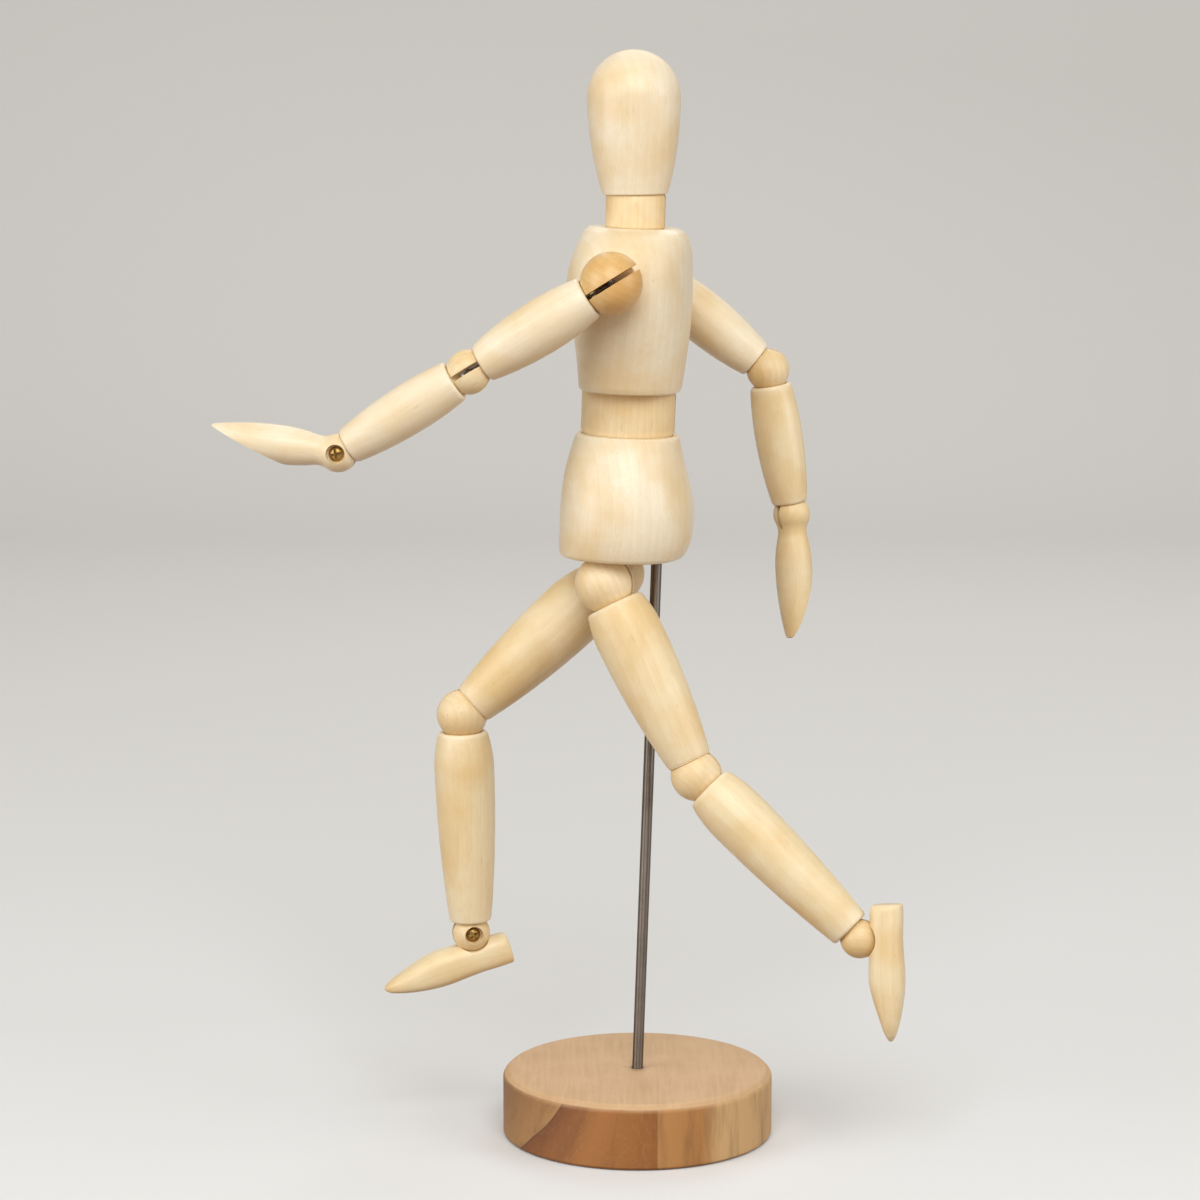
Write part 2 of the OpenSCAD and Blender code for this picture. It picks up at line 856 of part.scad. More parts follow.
// turned hand with a round end, a hollow neck and a flat sloping palm
module hand(side, pose) {
    neck_r = 4;
    neck_curve = 6;
    neck_s = 6.4;
    belly_s = 15;
    belly_r = 5.2;
    tip_r = 2.9;
    palm_s = 13.5;
    palm_start = 4;
    block = 2*hand_l;
    meet_r = wrist_r*(neck_r + neck_curve)/(wrist_r + neck_curve);
    waist_s = sqrt(pow(wrist_r + neck_curve, 2) - pow(neck_r + neck_curve, 2));
    flare_r = neck_r + neck_curve - sqrt(pow(neck_curve, 2) - pow(neck_s - waist_s, 2));
    color(wood)
        in_hand(side, pose)
            difference() {
                union() {
                    sphere(r = wrist_r, $fn = 96);
                    rotate_extrude() {
                        translate([0, -neck_s])
                            barrel_outline(flare_r, belly_r, tip_r, belly_s - neck_s, hand_l - neck_s);
                        difference() {
                            translate([0, -neck_s])
                                square([meet_r, neck_s]);
                            translate([neck_r + neck_curve, -waist_s])
                                circle(r = neck_curve, $fn = arc_fn);
                        }
                    }
                }
                translate([belly_r, 0, -palm_s])
                    rotate([0, palm_slope, 0])
                        translate([0, -hand_l, palm_start - block])
                            cube(block);
                screw_cut(side, wrist_r);
            }
}

// slot for the hook and counterbored hole for the screw in a ball with its screw along Y
module screw_cut(side, r) {
    ball_slot(r, screw_hook_r);
    rotate([90, 0, 0])
        cylinder(d = screw_d + 2*fixed_gap, h = 2*(screw_tip*r + fixed_gap), center = true);
    translate([0, side*screw_seat*r, 0])
        rotate([-side*90, 0, 0])
            cylinder(d = counterbore_d, h = r);
}

// screw along Y with a domed cross-slot head on the given side
module cross_screw(side, r) {
    head_h = 1.3;
    dome_d = 1.4*screw_head_d;
    seat = screw_seat*r + fixed_gap;
    cross_w = 0.6;
    cross_l = 0.64*screw_head_d;
    cross_turn = 20;
    color(brass)
        rotate([-side*90, 0, 0])
            difference() {
                union() {
                    translate([0, 0, -screw_tip*r])
                        cylinder(d = screw_d, h = screw_tip*r + seat + head_h/2);
                    translate([0, 0, seat])
                        intersection() {
                            cylinder(d = screw_head_d, h = head_h);
                            translate([0, 0, head_h - dome_d/2])
                                sphere(d = dome_d);
                        }
                }
                for (a = [0, 90])
                    rotate([0, 0, a + cross_turn])
                        translate([-cross_l/2, -cross_w/2, seat + head_h/3])
                            cube([cross_l, cross_w, head_h]);
            }
}

module wrist_screw(side, pose) {
    in_hand(side, pose)
        cross_screw(side, wrist_r);
}

// Legs

hip_shank = shank_length(hip_r);
knee_shank = shank_length(knee_r);

module hip_ball(side, pose) {
    in_hip(side, pose)
        joint_ball(hip_r, hip_shank);
}

module hip_stirrup(side, pose) {
    color(steel)
        in_hip(side, pose)
            stirrup(hip_r, hip_shank);
}

module thigh(side, pose) {
    in_thigh(side, pose)
        limb([thigh_ends[0], thigh_r, thigh_ends[1], thigh_belly, thigh_l],
            [hip_rim, knee_up_rim], [hip_r, knee_r]);
}

module thigh_spring(side, pose) {
    in_thigh(side, pose)
        limb_spring(hip_r, knee_r, thigh_c, hook_r);
}

module knee_ball(side, pose) {
    in_knee(side, pose)
        joint_ball(knee_r, knee_shank);
}

module knee_stirrup(side, pose) {
    color(steel)
        in_knee(side, pose)
            stirrup(knee_r, knee_shank);
}

module shin(side, pose) {
    in_shin(side, pose)
        limb([shin_ends[0], shin_r, shin_ends[1], shin_belly, shin_l],
            [knee_low_rim, ankle_rim], [knee_r, ankle_r]);
}

module shin_spring(side, pose) {
    in_shin(side, pose)
        limb_spring(knee_r, ankle_r, shin_c, screw_hook_r);
}

module ankle_ball(side, pose) {
    color(ball_wood)
        in_foot(side, pose)
            difference() {
                sphere(r = ankle_r, $fn = 96);
                screw_cut(-side, ankle_r);
            }
}

// sections of the foot from heel to toe, as shares of its length, depth to the sole, depth to
// the instep and half width
foot_rows = [[0, 0.975, 0.325, 0.667], [0.007, 0.996, 0.292, 0.743], [0.027, 1, 0.267, 0.8],
    [0.136, 0.99, 0.242, 0.876], [0.245, 0.97, 0.225, 0.933], [0.38, 0.975, 0.2, 0.99],
    [0.489, 0.99, 0.179, 1], [0.571, 0.985, 0.18, 0.99], [0.666, 0.955, 0.235, 0.943],
    [0.761, 0.905, 0.31, 0.857], [0.842, 0.85, 0.385, 0.743], [0.91, 0.79, 0.445, 0.59],
    [0.962, 0.735, 0.505, 0.4], [0.992, 0.675, 0.555, 0.21], [1, 0.635, 0.585, 0.095]];

module foot(side, pose) {
    n = 28;
    power = 2.7;
    saddle_lift = 0.6;
    points = [for (row = foot_rows) for (i = [0:n - 1])
        let (mid = -sole_drop*(row[1] + row[2])/2, tall = sole_drop*(row[1] - row[2])/2,
            p = section_point(360*i/n, tall, tall, foot_w/2*row[3], power))
        [foot_heel - foot_l*row[0], p[1], mid + p[0]]];
    color(wood)
        in_foot(side, pose)
            difference() {
                loft(points, n);
                sphere(r = ankle_r + fixed_gap, $fn = 96);
                translate([0, 0, saddle_lift])
                    rotate([90, 0, 0])
                        cylinder(r = ankle_r + fixed_gap, h = foot_w + 2*cut_over, center = true);
            }
}

module ankle_screw(side, pose) {
    in_foot(side, pose)
        cross_screw(-side, ankle_r);
}

base();
stand_rod();
pelvis();
pelvis_studs();
waist_spring();
waist_ball();
waist_stirrup();
chest();
spine_spring();
shoulder_spring();
neck_ball();
neck_stirrup();
head();
head_spring();
shoulder_ball(-1, left_arm);  // left_shoulder_ball
shoulder_stirrup(-1, left_arm);  // left_shoulder_stirrup
arm_hook(-1, left_arm);  // left_arm_hook
upper_arm(-1, left_arm);  // left_upper_arm
upper_arm_spring(-1, left_arm);  // left_upper_arm_spring
elbow_ball(-1, left_arm);  // left_elbow_ball
elbow_stirrup(-1, left_arm);  // left_elbow_stirrup
forearm(-1, left_arm);  // left_forearm
forearm_spring(-1, left_arm);  // left_forearm_spring
hand(-1, left_arm);  // left_hand
wrist_screw(-1, left_arm);  // left_wrist_screw
shoulder_ball(1, right_arm);  // right_shoulder_ball
shoulder_stirrup(1, right_arm);  // right_shoulder_stirrup
arm_hook(1, right_arm);  // right_arm_hook
upper_arm(1, right_arm);  // right_upper_arm
upper_arm_spring(1, right_arm);  // right_upper_arm_spring
elbow_ball(1, right_arm);  // right_elbow_ball
elbow_stirrup(1, right_arm);  // right_elbow_stirrup
forearm(1, right_arm);  // right_forearm
forearm_spring(1, right_arm);  // right_forearm_spring
hand(1, right_arm);  // right_hand
wrist_screw(1, right_arm);  // right_wrist_screw
hip_spring(-1, left_leg);  // left_hip_spring
hip_ball(-1, left_leg);  // left_hip_ball
hip_stirrup(-1, left_leg);  // left_hip_stirrup
thigh(-1, left_leg);  // left_thigh
thigh_spring(-1, left_leg);  // left_thigh_spring
knee_ball(-1, left_leg);  // left_knee_ball
knee_stirrup(-1, left_leg);  // left_knee_stirrup
shin(-1, left_leg);  // left_shin
shin_spring(-1, left_leg);  // left_shin_spring
ankle_ball(-1, left_leg);  // left_ankle_ball
foot(-1, left_leg);  // left_foot
ankle_screw(-1, left_leg);  // left_ankle_screw
hip_spring(1, right_leg);  // right_hip_spring
hip_ball(1, right_leg);  // right_hip_ball
hip_stirrup(1, right_leg);  // right_hip_stirrup
thigh(1, right_leg);  // right_thigh
thigh_spring(1, right_leg);  // right_thigh_spring
knee_ball(1, right_leg);  // right_knee_ball
knee_stirrup(1, right_leg);  // right_knee_stirrup
shin(1, right_leg);  // right_shin
shin_spring(1, right_leg);  // right_shin_spring
ankle_ball(1, right_leg);  // right_ankle_ball
foot(1, right_leg);  // right_foot
ankle_screw(1, right_leg);  // right_ankle_screw
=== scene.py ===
import json
import math
import bmesh
import bpy
from mathutils import Matrix, Vector


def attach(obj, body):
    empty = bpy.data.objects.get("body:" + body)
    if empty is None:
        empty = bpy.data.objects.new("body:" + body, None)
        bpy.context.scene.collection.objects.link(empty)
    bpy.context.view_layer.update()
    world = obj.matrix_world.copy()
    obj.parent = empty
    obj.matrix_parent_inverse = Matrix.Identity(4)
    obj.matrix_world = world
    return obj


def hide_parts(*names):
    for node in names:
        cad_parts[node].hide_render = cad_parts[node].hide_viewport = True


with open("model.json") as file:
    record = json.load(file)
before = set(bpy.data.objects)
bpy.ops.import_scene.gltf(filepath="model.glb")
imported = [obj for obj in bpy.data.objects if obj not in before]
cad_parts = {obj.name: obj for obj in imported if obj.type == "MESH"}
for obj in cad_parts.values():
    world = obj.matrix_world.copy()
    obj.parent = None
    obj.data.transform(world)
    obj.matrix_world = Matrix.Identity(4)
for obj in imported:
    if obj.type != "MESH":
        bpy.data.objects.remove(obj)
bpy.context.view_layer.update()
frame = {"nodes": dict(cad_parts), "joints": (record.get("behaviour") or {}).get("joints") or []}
mm = 0.001
nodes = frame["nodes"]
joints = {j["name"]: j for j in frame["joints"]}
scene = bpy.context.scene
scene.view_settings.view_transform = "Standard"
print("frame loaded,", len(nodes), "nodes")


def linear(code):  # sRGB hex to linear
    out = []
    for i in (1, 3, 5):
        c = int(code[i:i + 2], 16) / 255
        out.append(c / 12.92 if c <= 0.04045 else ((c + 0.055) / 1.055) ** 2.4)
    return (*out, 1.0)


def addNode(tree, kind, links=None, **settings):  # settings: node properties, or inputs by name
    node = tree.nodes.new(kind)
    for key, value in settings.items():
        if hasattr(node, key):
            setattr(node, key, value)
    for key, value in (links or {}).items():
        socket = node.inputs[key]
        if isinstance(value, bpy.types.NodeSocket):
            tree.links.new(value, socket)
        else:
            socket.default_value = value
    return node


def maths(tree, operation, *values):
    return addNode(tree, "ShaderNodeMath", dict(enumerate(values)), operation=operation)


def vectors(tree, operation, *values):
    return addNode(tree, "ShaderNodeVectorMath", dict(enumerate(values)), operation=operation)


def mixed(tree, share, first, second):  # of two colours
    return addNode(tree, "ShaderNodeMix", {"Factor": share, 6: first, 7: second}, data_type="RGBA")


def ranged(tree, value, low, high, start, end):
    return addNode(tree, "ShaderNodeMapRange", dict(enumerate((value, low, high, start, end))))


def noise(tree, place, scale, detail, rough=0.5):
    return addNode(tree, "ShaderNodeTexNoise", {"Vector": place, "Scale": scale, "Detail": detail,
                                                "Roughness": rough})


def mapped(tree, place, scale, turn=(0, 0, 0), shift=(0, 0, 0)):
    return addNode(tree, "ShaderNodeMapping", {"Vector": place, "Scale": scale, "Rotation": turn,
                                               "Location": shift})


# camera, at the photo's height and distance
cameraSet = {"place": (-10.47, -986.66, 305.55), "down": 8.95, "lens": 109.45}
cam = bpy.data.cameras.new("camera")
cam.lens = cameraSet["lens"]
cam.sensor_width = 36
cam.sensor_fit = "HORIZONTAL"
cam.clip_start = 0.01
camera = bpy.data.objects.new("camera", cam)
camera.location = [v * mm for v in cameraSet["place"]]
camera.rotation_euler = (math.radians(90 - cameraSet["down"]), 0, 0)
scene.collection.objects.link(camera)
scene.camera = camera

# studio
studio = {"floor": "#E9ECEF", "bounce": "#80664E", "air": "#F6EBD8", "world": 0.46,
          "key": 9.5, "left": 7.2, "right": 5.2, "back": 3.2, "wall": 5.5}  # lamps in watts
sweepSet = {"reach": 12.0, "bendAt": 1.2, "bend": 0.8, "wallTop": 3.3, "under": 0.0002}  # m
floorMaterial = bpy.data.materials.new("paperFloor")  # seamless studio paper, matt
floorMaterial.use_nodes = True
tree = floorMaterial.node_tree
floorShader = tree.nodes["Principled BSDF"]
# pale to the eye, but it throws back the warm light of a table
lightPath = addNode(tree, "ShaderNodeLightPath")
shown = maths(tree, "MAXIMUM", lightPath.outputs["Is Camera Ray"], lightPath.outputs["Is Glossy Ray"])
seen = maths(tree, "MAXIMUM", shown.outputs[0], lightPath.outputs["Is Transmission Ray"])
floorTone = mixed(tree, seen.outputs[0], linear(studio["bounce"]), linear(studio["floor"]))
tree.links.new(floorTone.outputs[2], floorShader.inputs["Base Color"])
floorShader.inputs["Roughness"].default_value = 0.9
floorMesh = bpy.data.meshes.new("floor")
sweep = bmesh.new()
profile = [(-sweepSet["reach"], 0)]  # flat floor that curves up into a wall
for k in range(19):
    a = math.pi / 2 * k / 18
    profile.append((sweepSet["bendAt"] + sweepSet["bend"] * math.sin(a),
                    sweepSet["bend"] * (1 - math.cos(a))))
profile.append((sweepSet["bendAt"] + sweepSet["bend"], sweepSet["wallTop"]))
rows = []
for y, z in profile:
    rows.append([sweep.verts.new((x, y, z - sweepSet["under"]))
                 for x in (-sweepSet["reach"], sweepSet["reach"])])
for a, b in zip(rows, rows[1:]):
    sweep.faces.new((a[0], a[1], b[1], b[0]))
for face in sweep.faces:
    face.smooth = True
sweep.to_mesh(floorMesh)
floorMesh.materials.append(floorMaterial)
floor = bpy.data.objects.new("floor", floorMesh)
scene.collection.objects.link(floor)


def softbox(name, place, aim, size, power):
    data = bpy.data.lights.new(name, "AREA")
    data.shape = "RECTANGLE"
    data.size, data.size_y = size
    data.energy = power
    lamp = bpy.data.objects.new(name, data)
    lamp.location = place
    lamp.rotation_euler = (Vector(aim) - Vector(place)).to_track_quat("-Z", "Y").to_euler()
    scene.collection.objects.link(lamp)


softbox("keySoftbox", (0.05, -1.0, 1.0), (0, 0, 0.17), (0.9, 0.8), studio["key"])
softbox("leftSoftbox", (-1.1, -0.6, 0.5), (0, 0, 0.15), (0.8, 0.9), studio["left"])
softbox("rightSoftbox", (1.1, -0.5, 0.5), (0, 0, 0.15), (0.8, 0.9), studio["right"])
softbox("backSoftbox", (0.2, 1.1, 1.1), (0, 0, 0.15), (1.0, 0.6), studio["back"])
softbox("wallSoftbox", (0, 0.9, 1.7), (0, 2.0, 0.7), (1.6, 0.4), studio["wall"])
world = bpy.data.worlds.new("room")
world.use_nodes = True
air = world.node_tree.nodes["Background"]
air.inputs["Color"].default_value = linear(studio["air"])
air.inputs["Strength"].default_value = studio["world"]
scene.world = world
print("camera and studio ready")


# places of the members, read from the joints of the frame
def spot(name):
    return Vector(joints[name]["pos_m"])


def axis(name):
    return Vector(joints[name]["axis"]).normalized()


def placed(origin, up, side):  # from a member's own mm frame to the model
    z = up.normalized()
    y = (side - z * side.dot(z)).normalized()
    turn = Matrix((y.cross(z), y, z)).transposed().to_4x4()
    return Matrix.Translation(origin) @ turn @ Matrix.Scale(mm, 4)


def bent(place, degrees):  # turned about the member's own Y
    return place @ Matrix.Rotation(math.radians(degrees), 4, "Y")


torso = {"pelvisHeight": 33.2, "waistHalf": 6.0, "chestHeight": 43.9, "neckHalf": 4.5, "headNod": -3}
up, sideways = axis("waist_turn"), axis("waist_bend")
pelvisPlace = placed(spot("waist_turn") - up * (torso["pelvisHeight"] + torso["waistHalf"]) * mm, up,
                     sideways)
waistPlace = placed(spot("waist_bend"), axis("chest_turn"), sideways)
neckPlace = placed(spot("head_turn"), axis("head_turn"), axis("head_nod"))
headPlace = bent(neckPlace, torso["headNod"])
basePlace = Matrix.Scale(mm, 4)


def hanging(top, low):  # limb that hangs from one ball to the next
    return placed(spot(top), spot(top) - spot(low), axis(low))


# shared mesh work
def finished(name, mesh, place, material, body, node, seed=0.0, lying=False):
    mesh.transform(place)
    work = bmesh.new()
    work.from_mesh(mesh)
    bmesh.ops.remove_doubles(work, verts=work.verts, dist=1e-6)
    bmesh.ops.recalc_face_normals(work, faces=work.faces)
    work.to_mesh(mesh)
    work.free()
    grain = mesh.attributes.get("grain") or mesh.attributes.new("grain", "FLOAT_VECTOR", "POINT")
    back = place.inverted()
    values = []
    for v in mesh.vertices:  # own mm frame, moved on so that no two pieces share a pattern
        p = back @ v.co
        if lying:  # cut from a board with the grain along X
            p = Vector((p.z, p.y, p.x))
        values += [p.x + seed * 7.3, p.y + seed * 4.1, p.z + seed * 31.0]
    grain.data.foreach_set("vector", values)
    mesh.materials.clear()
    mesh.materials.append(material)
    piece = bpy.data.objects.new(name, mesh)
    scene.collection.objects.link(piece)
    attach(piece, body)
    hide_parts(node)
    return piece


def sharpen(mesh, degrees=38):  # smooth faces, crisp where the saw or the chisel left an edge
    work = bmesh.new()
    work.from_mesh(mesh)
    limit = math.radians(degrees)
    for face in work.faces:
        face.smooth = True
    for edge in work.edges:
        edge.smooth = len(edge.link_faces) == 2 and edge.calc_face_angle(0) < limit
    work.to_mesh(mesh)
    work.free()


def fillet(corners, steps=5):  # corners: radius, height, rounding
    out = []
    for k, (r, z, c) in enumerate(corners):
        if c <= 0 or k in (0, len(corners) - 1):
            out.append((r, z))
            continue
        here = Vector((r, z))
        before = (Vector(corners[k - 1][:2]) - here).normalized()
        after = (Vector(corners[k + 1][:2]) - here).normalized()
        start, end = here + before * c, here + after * c
        for s in range(steps + 1):
            t = s / steps
            p = start.lerp(here, t).lerp(here.lerp(end, t), t)
            out.append((p.x, p.y))
    return out


def barrel(topR, bellyR, lowR, belly, length, steps=14):  # outline from z = 0 down
    out = []
    for rEnd, span, upper in ((topR, belly, True), (lowR, length - belly, False)):
        big = (span * span + (bellyR - rEnd) ** 2) / (2 * (bellyR - rEnd))
        for k in range(steps + 1):
            d = span * (k / steps)
            r = bellyR - big + math.sqrt(big * big - (span - d) ** 2 if upper else big * big - d * d)
            out.append((r, -d if upper else -belly - d))
    return out


# one tree turns any outline into a closed round piece, as the lathe does
turned = bpy.data.node_groups.new("turnedPiece", "GeometryNodeTree")
for socketName, socketKind in (("Outline", "NodeSocketObject"), ("Outline Points", "NodeSocketInt"),
                               ("Sides", "NodeSocketInt"), ("Finish", "NodeSocketMaterial")):
    turned.interface.new_socket(socketName, in_out="INPUT", socket_type=socketKind)
turned.interface.new_socket("Geometry", in_out="OUTPUT", socket_type="NodeSocketGeometry")
entry = addNode(turned, "NodeGroupInput")
outline = addNode(turned, "GeometryNodeObjectInfo", {"Object": entry.outputs["Outline"]})
ring = maths(turned, "ADD", entry.outputs["Sides"], 1.0)
grid = addNode(turned, "GeometryNodeMeshGrid", {"Size X": 1.0, "Size Y": 1.0,
                                                "Vertices X": entry.outputs["Outline Points"],
                                                "Vertices Y": ring.outputs[0]})
place = addNode(turned, "GeometryNodeInputPosition")
split = addNode(turned, "ShaderNodeSeparateXYZ", {0: place.outputs[0]})
along = maths(turned, "ADD", split.outputs["X"], 0.5)
last = maths(turned, "SUBTRACT", entry.outputs["Outline Points"], 1.0)
count = maths(turned, "MULTIPLY", along.outputs[0], last.outputs[0])
index = maths(turned, "ROUND", count.outputs[0])
sample = addNode(turned, "GeometryNodeSampleIndex",
                 {"Geometry": outline.outputs["Geometry"], "Index": index.outputs[0]},
                 data_type="FLOAT_VECTOR", domain="POINT")
turned.links.new(place.outputs[0], sample.inputs["Value"])
profile = addNode(turned, "ShaderNodeSeparateXYZ", {0: sample.outputs["Value"]})
around = maths(turned, "MULTIPLY", split.outputs["Y"], 2 * math.pi)
cosine = maths(turned, "COSINE", around.outputs[0])
sine = maths(turned, "SINE", around.outputs[0])
px = maths(turned, "MULTIPLY", profile.outputs["X"], cosine.outputs[0])
py = maths(turned, "MULTIPLY", profile.outputs["X"], sine.outputs[0])
point = addNode(turned, "ShaderNodeCombineXYZ", {"X": px.outputs[0], "Y": py.outputs[0],
                                                 "Z": profile.outputs["Z"]})
moved = addNode(turned, "GeometryNodeSetPosition",
                {"Geometry": grid.outputs["Mesh"], "Position": point.outputs[0]})
closed = addNode(turned, "GeometryNodeMergeByDistance", {"Geometry": moved.outputs[0], "Distance": 0.0005})
real = addNode(turned, "GeometryNodeRealizeInstances", {"Geometry": closed.outputs[0]})
coated = addNode(turned, "GeometryNodeSetMaterial",
                 {"Geometry": real.outputs[0], "Material": entry.outputs["Finish"]})
addNode(turned, "NodeGroupOutput", {"Geometry": coated.outputs[0]})


def onLathe(name, points, material, sides=96):  # outline points in mm to a plain mesh
    lineMesh = bpy.data.meshes.new(name + "Outline")
    lineMesh.from_pydata([(r, 0, z) for r, z in points], [(k, k + 1) for k in range(len(points) - 1)], [])
    line = bpy.data.objects.new(name + "Outline", lineMesh)
    scene.collection.objects.link(line)
    holder = bpy.data.objects.new(name + "Blank", bpy.data.meshes.new(name + "Blank"))
    scene.collection.objects.link(holder)
    modifier = holder.modifiers.new("turned", "NODES")
    modifier.node_group = turned
    wanted = {"Outline": line, "Outline Points": len(points), "Sides": sides, "Finish": material}
    for item in turned.interface.items_tree:
        if item.in_out == "INPUT":
            modifier[item.identifier] = wanted[item.name]
    bpy.context.view_layer.update()
    mesh = bpy.data.meshes.new_from_object(holder.evaluated_get(bpy.context.evaluated_depsgraph_get()))
    holder.modifiers.clear()
    bpy.data.objects.remove(holder)
    bpy.data.objects.remove(line)
    mesh.name = name
    return mesh


def carved(mesh, cutters):  # takes the cutter meshes out of a mesh
    body = bpy.data.objects.new("blank", mesh)
    scene.collection.objects.link(body)
    helpers = []
    for k, cutter in enumerate(cutters):
        tool = bpy.data.objects.new("cutter%d" % k, cutter)
        scene.collection.objects.link(tool)
        helpers.append(tool)
        modifier = body.modifiers.new("cut%d" % k, "BOOLEAN")
        modifier.object = tool
        modifier.operation = "DIFFERENCE"
        modifier.solver = "EXACT"
    bpy.context.view_layer.update()
    result = bpy.data.meshes.new_from_object(body.evaluated_get(bpy.context.evaluated_depsgraph_get()))
    body.modifiers.clear()
    for tool in helpers:
        bpy.data.objects.remove(tool)
    bpy.data.objects.remove(body)
    return result


def ballMesh(radius, centre=(0, 0, 0), turn="Z", u=96, v=64):
    work = bmesh.new()
    bmesh.ops.create_uvsphere(work, u_segments=u, v_segments=v, radius=radius)
    if turn == "Y":
        bmesh.ops.rotate(work, verts=work.verts, matrix=Matrix.Rotation(math.pi / 2, 3, "X"))
    bmesh.ops.translate(work, verts=work.verts, vec=centre)
    mesh = bpy.data.meshes.new("ball")
    work.to_mesh(mesh)
    work.free()
    return mesh


def rodMesh(radius, start, end, sides=48):
    work = bmesh.new()
    a, b = Vector(start), Vector(end)
    turn = (b - a).to_track_quat("Z", "Y").to_matrix().to_4x4()
    bmesh.ops.create_cone(work, cap_ends=True, segments=sides, radius1=radius, radius2=radius,
                          depth=(b - a).length, matrix=Matrix.Translation((a + b) / 2) @ turn)
    mesh = bpy.data.meshes.new("rodCut")
    work.to_mesh(mesh)
    work.free()
    return mesh


slotSet = {"width": 1.5, "web": 50, "pinEye": 1.6, "screwEye": 2.0}  # saw slot in a ball, mm
# radii, mm
ballSet = {"waist": 13.7, "neck": 9.0, "shoulder": 8.3, "elbow": 6.0, "wrist": 5.2, "hip": 8.1,
           "knee": 7.0, "ankle": 5.3}
barrelSet = {"waist": 12.8, "neck": 8.1}  # radii of the straight part, mm


def slotMesh(radius, eyeRoom):  # saw cut in the XZ plane that leaves a web towards -Z
    web = math.radians(slotSet["web"])
    apex = eyeRoom / math.sin(web)
    reach = radius + 1.0
    ring = [(0, -apex)]
    for k in range(49):
        a = -math.pi / 2 + web + (2 * math.pi - 2 * web) * k / 48
        ring.append((reach * 1.25 * math.cos(a), reach * 1.25 * math.sin(a)))
    work = bmesh.new()
    half = slotSet["width"] / 2
    front = [work.verts.new((x, -half, z)) for x, z in ring]
    back = [work.verts.new((x, half, z)) for x, z in ring]
    work.faces.new(front)
    work.faces.new(back[::-1])
    for k in range(len(ring)):
        m = (k + 1) % len(ring)
        work.faces.new((front[k], back[k], back[m], front[m]))
    bmesh.ops.recalc_face_normals(work, faces=work.faces)
    mesh = bpy.data.meshes.new("slotCut")
    work.to_mesh(mesh)
    work.free()
    return mesh


# finishes
def newFinish(name):
    material = bpy.data.materials.new(name)
    material.use_nodes = True
    return material, material.node_tree, material.node_tree.nodes["Principled BSDF"]


def woodFinish(name, look):
    material, tree, shader = newFinish(name)
    grain = addNode(tree, "ShaderNodeAttribute", attribute_name="grain")  # mm, z along the grain
    warp = noise(tree, grain.outputs["Vector"], 1 / 22, 2.0)  # slow drift of the fibres, 22 mm
    drift = vectors(tree, "MULTIPLY", warp.outputs["Color"], (look["drift"],) * 3)
    swayed = vectors(tree, "ADD", grain.outputs["Vector"], drift.outputs[0])
    # growth rings: cut at a slant by the lathe, so they show as long tongues
    heart = mapped(tree, swayed.outputs[0], (1, 1, 0.05), turn=(math.radians(4), math.radians(3), 0),
                   shift=look["heart"])
    rings = addNode(tree, "ShaderNodeTexWave", {"Vector": heart.outputs[0],
                                                "Scale": 2 * math.pi / (20 * look["ring"]),
                                                "Distortion": 1.4, "Detail": 2.0, "Detail Scale": 0.6},
                    wave_type="RINGS", rings_direction="Z", wave_profile="SAW")
    # fibres: fine lines 0.35 mm apart and 14 mm long, drawn a little coarse so they show
    thin = mapped(tree, swayed.outputs[0], (1 / 0.35, 1 / 0.35, 1 / 14))
    fibres = noise(tree, thin.outputs[0], 1.0, 3.0, 0.6)
    # pores: dark flecks 0.5 mm wide and 3.5 mm long
    short = mapped(tree, swayed.outputs[0], (1 / 0.5, 1 / 0.5, 1 / 3.5))
    fleckNoise = noise(tree, short.outputs[0], 1.0, 1.0)
    flecks = ranged(tree, fleckNoise.outputs[0], 0.66, 0.80, 0.0, 1.0)
    cloud = noise(tree, grain.outputs["Vector"], 1 / 17, 3.0, 0.55)  # warm patches, 17 mm
    patches = ranged(tree, cloud.outputs[0], 0.38, 0.66, 0.0, 1.0)
    tone = maths(tree, "MULTIPLY", patches.outputs[0], look["patch"])
    base = mixed(tree, tone.outputs[0], linear(look["pale"]), linear(look["warm"]))
    ringAmount = maths(tree, "MULTIPLY", rings.outputs["Fac"], look["ringStrength"])
    ringed = mixed(tree, ringAmount.outputs[0], base.outputs[2], linear(look["late"]))
    fibreAmount = ranged(tree, fibres.outputs[0], 0.42, 0.75, 0.0, look["fibre"])
    lined = mixed(tree, fibreAmount.outputs[0], ringed.outputs[2], linear(look["late"]))
    fleckAmount = maths(tree, "MULTIPLY", flecks.outputs[0], look["fleck"])
    flecked = mixed(tree, fleckAmount.outputs[0], lined.outputs[2], linear(look["pore"]))
    # rims: paler where an edge stands out, unevenly
    rim = addNode(tree, "ShaderNodeAttribute", attribute_name="rim")
    rimNoise = noise(tree, grain.outputs["Vector"], 1 / 2.5, 2.0)
    rimShare = maths(tree, "MULTIPLY", rim.outputs["Fac"], rimNoise.outputs[0])
    paleRim = mixed(tree, rimShare.outputs[0], flecked.outputs[2], linear(look["paleRim"]))
    tree.links.new(paleRim.outputs[2], shader.inputs["Base Color"])
    gloss = ranged(tree, fibres.outputs[0], 0.3, 0.7, look["rough"][0], look["rough"][1])
    tree.links.new(gloss.outputs[0], shader.inputs["Roughness"])
    height = maths(tree, "SUBTRACT", fibres.outputs[0], flecks.outputs[0])
    bump = addNode(tree, "ShaderNodeBump", {"Height": height.outputs[0], "Strength": look["bump"],
                                            "Distance": 0.05 * mm})
    tree.links.new(bump.outputs[0], shader.inputs["Normal"])
    shader.inputs["IOR"].default_value = 1.5
    shader.inputs["Coat Weight"].default_value = look["lacquer"]
    shader.inputs["Coat Roughness"].default_value = 0.36
    return material


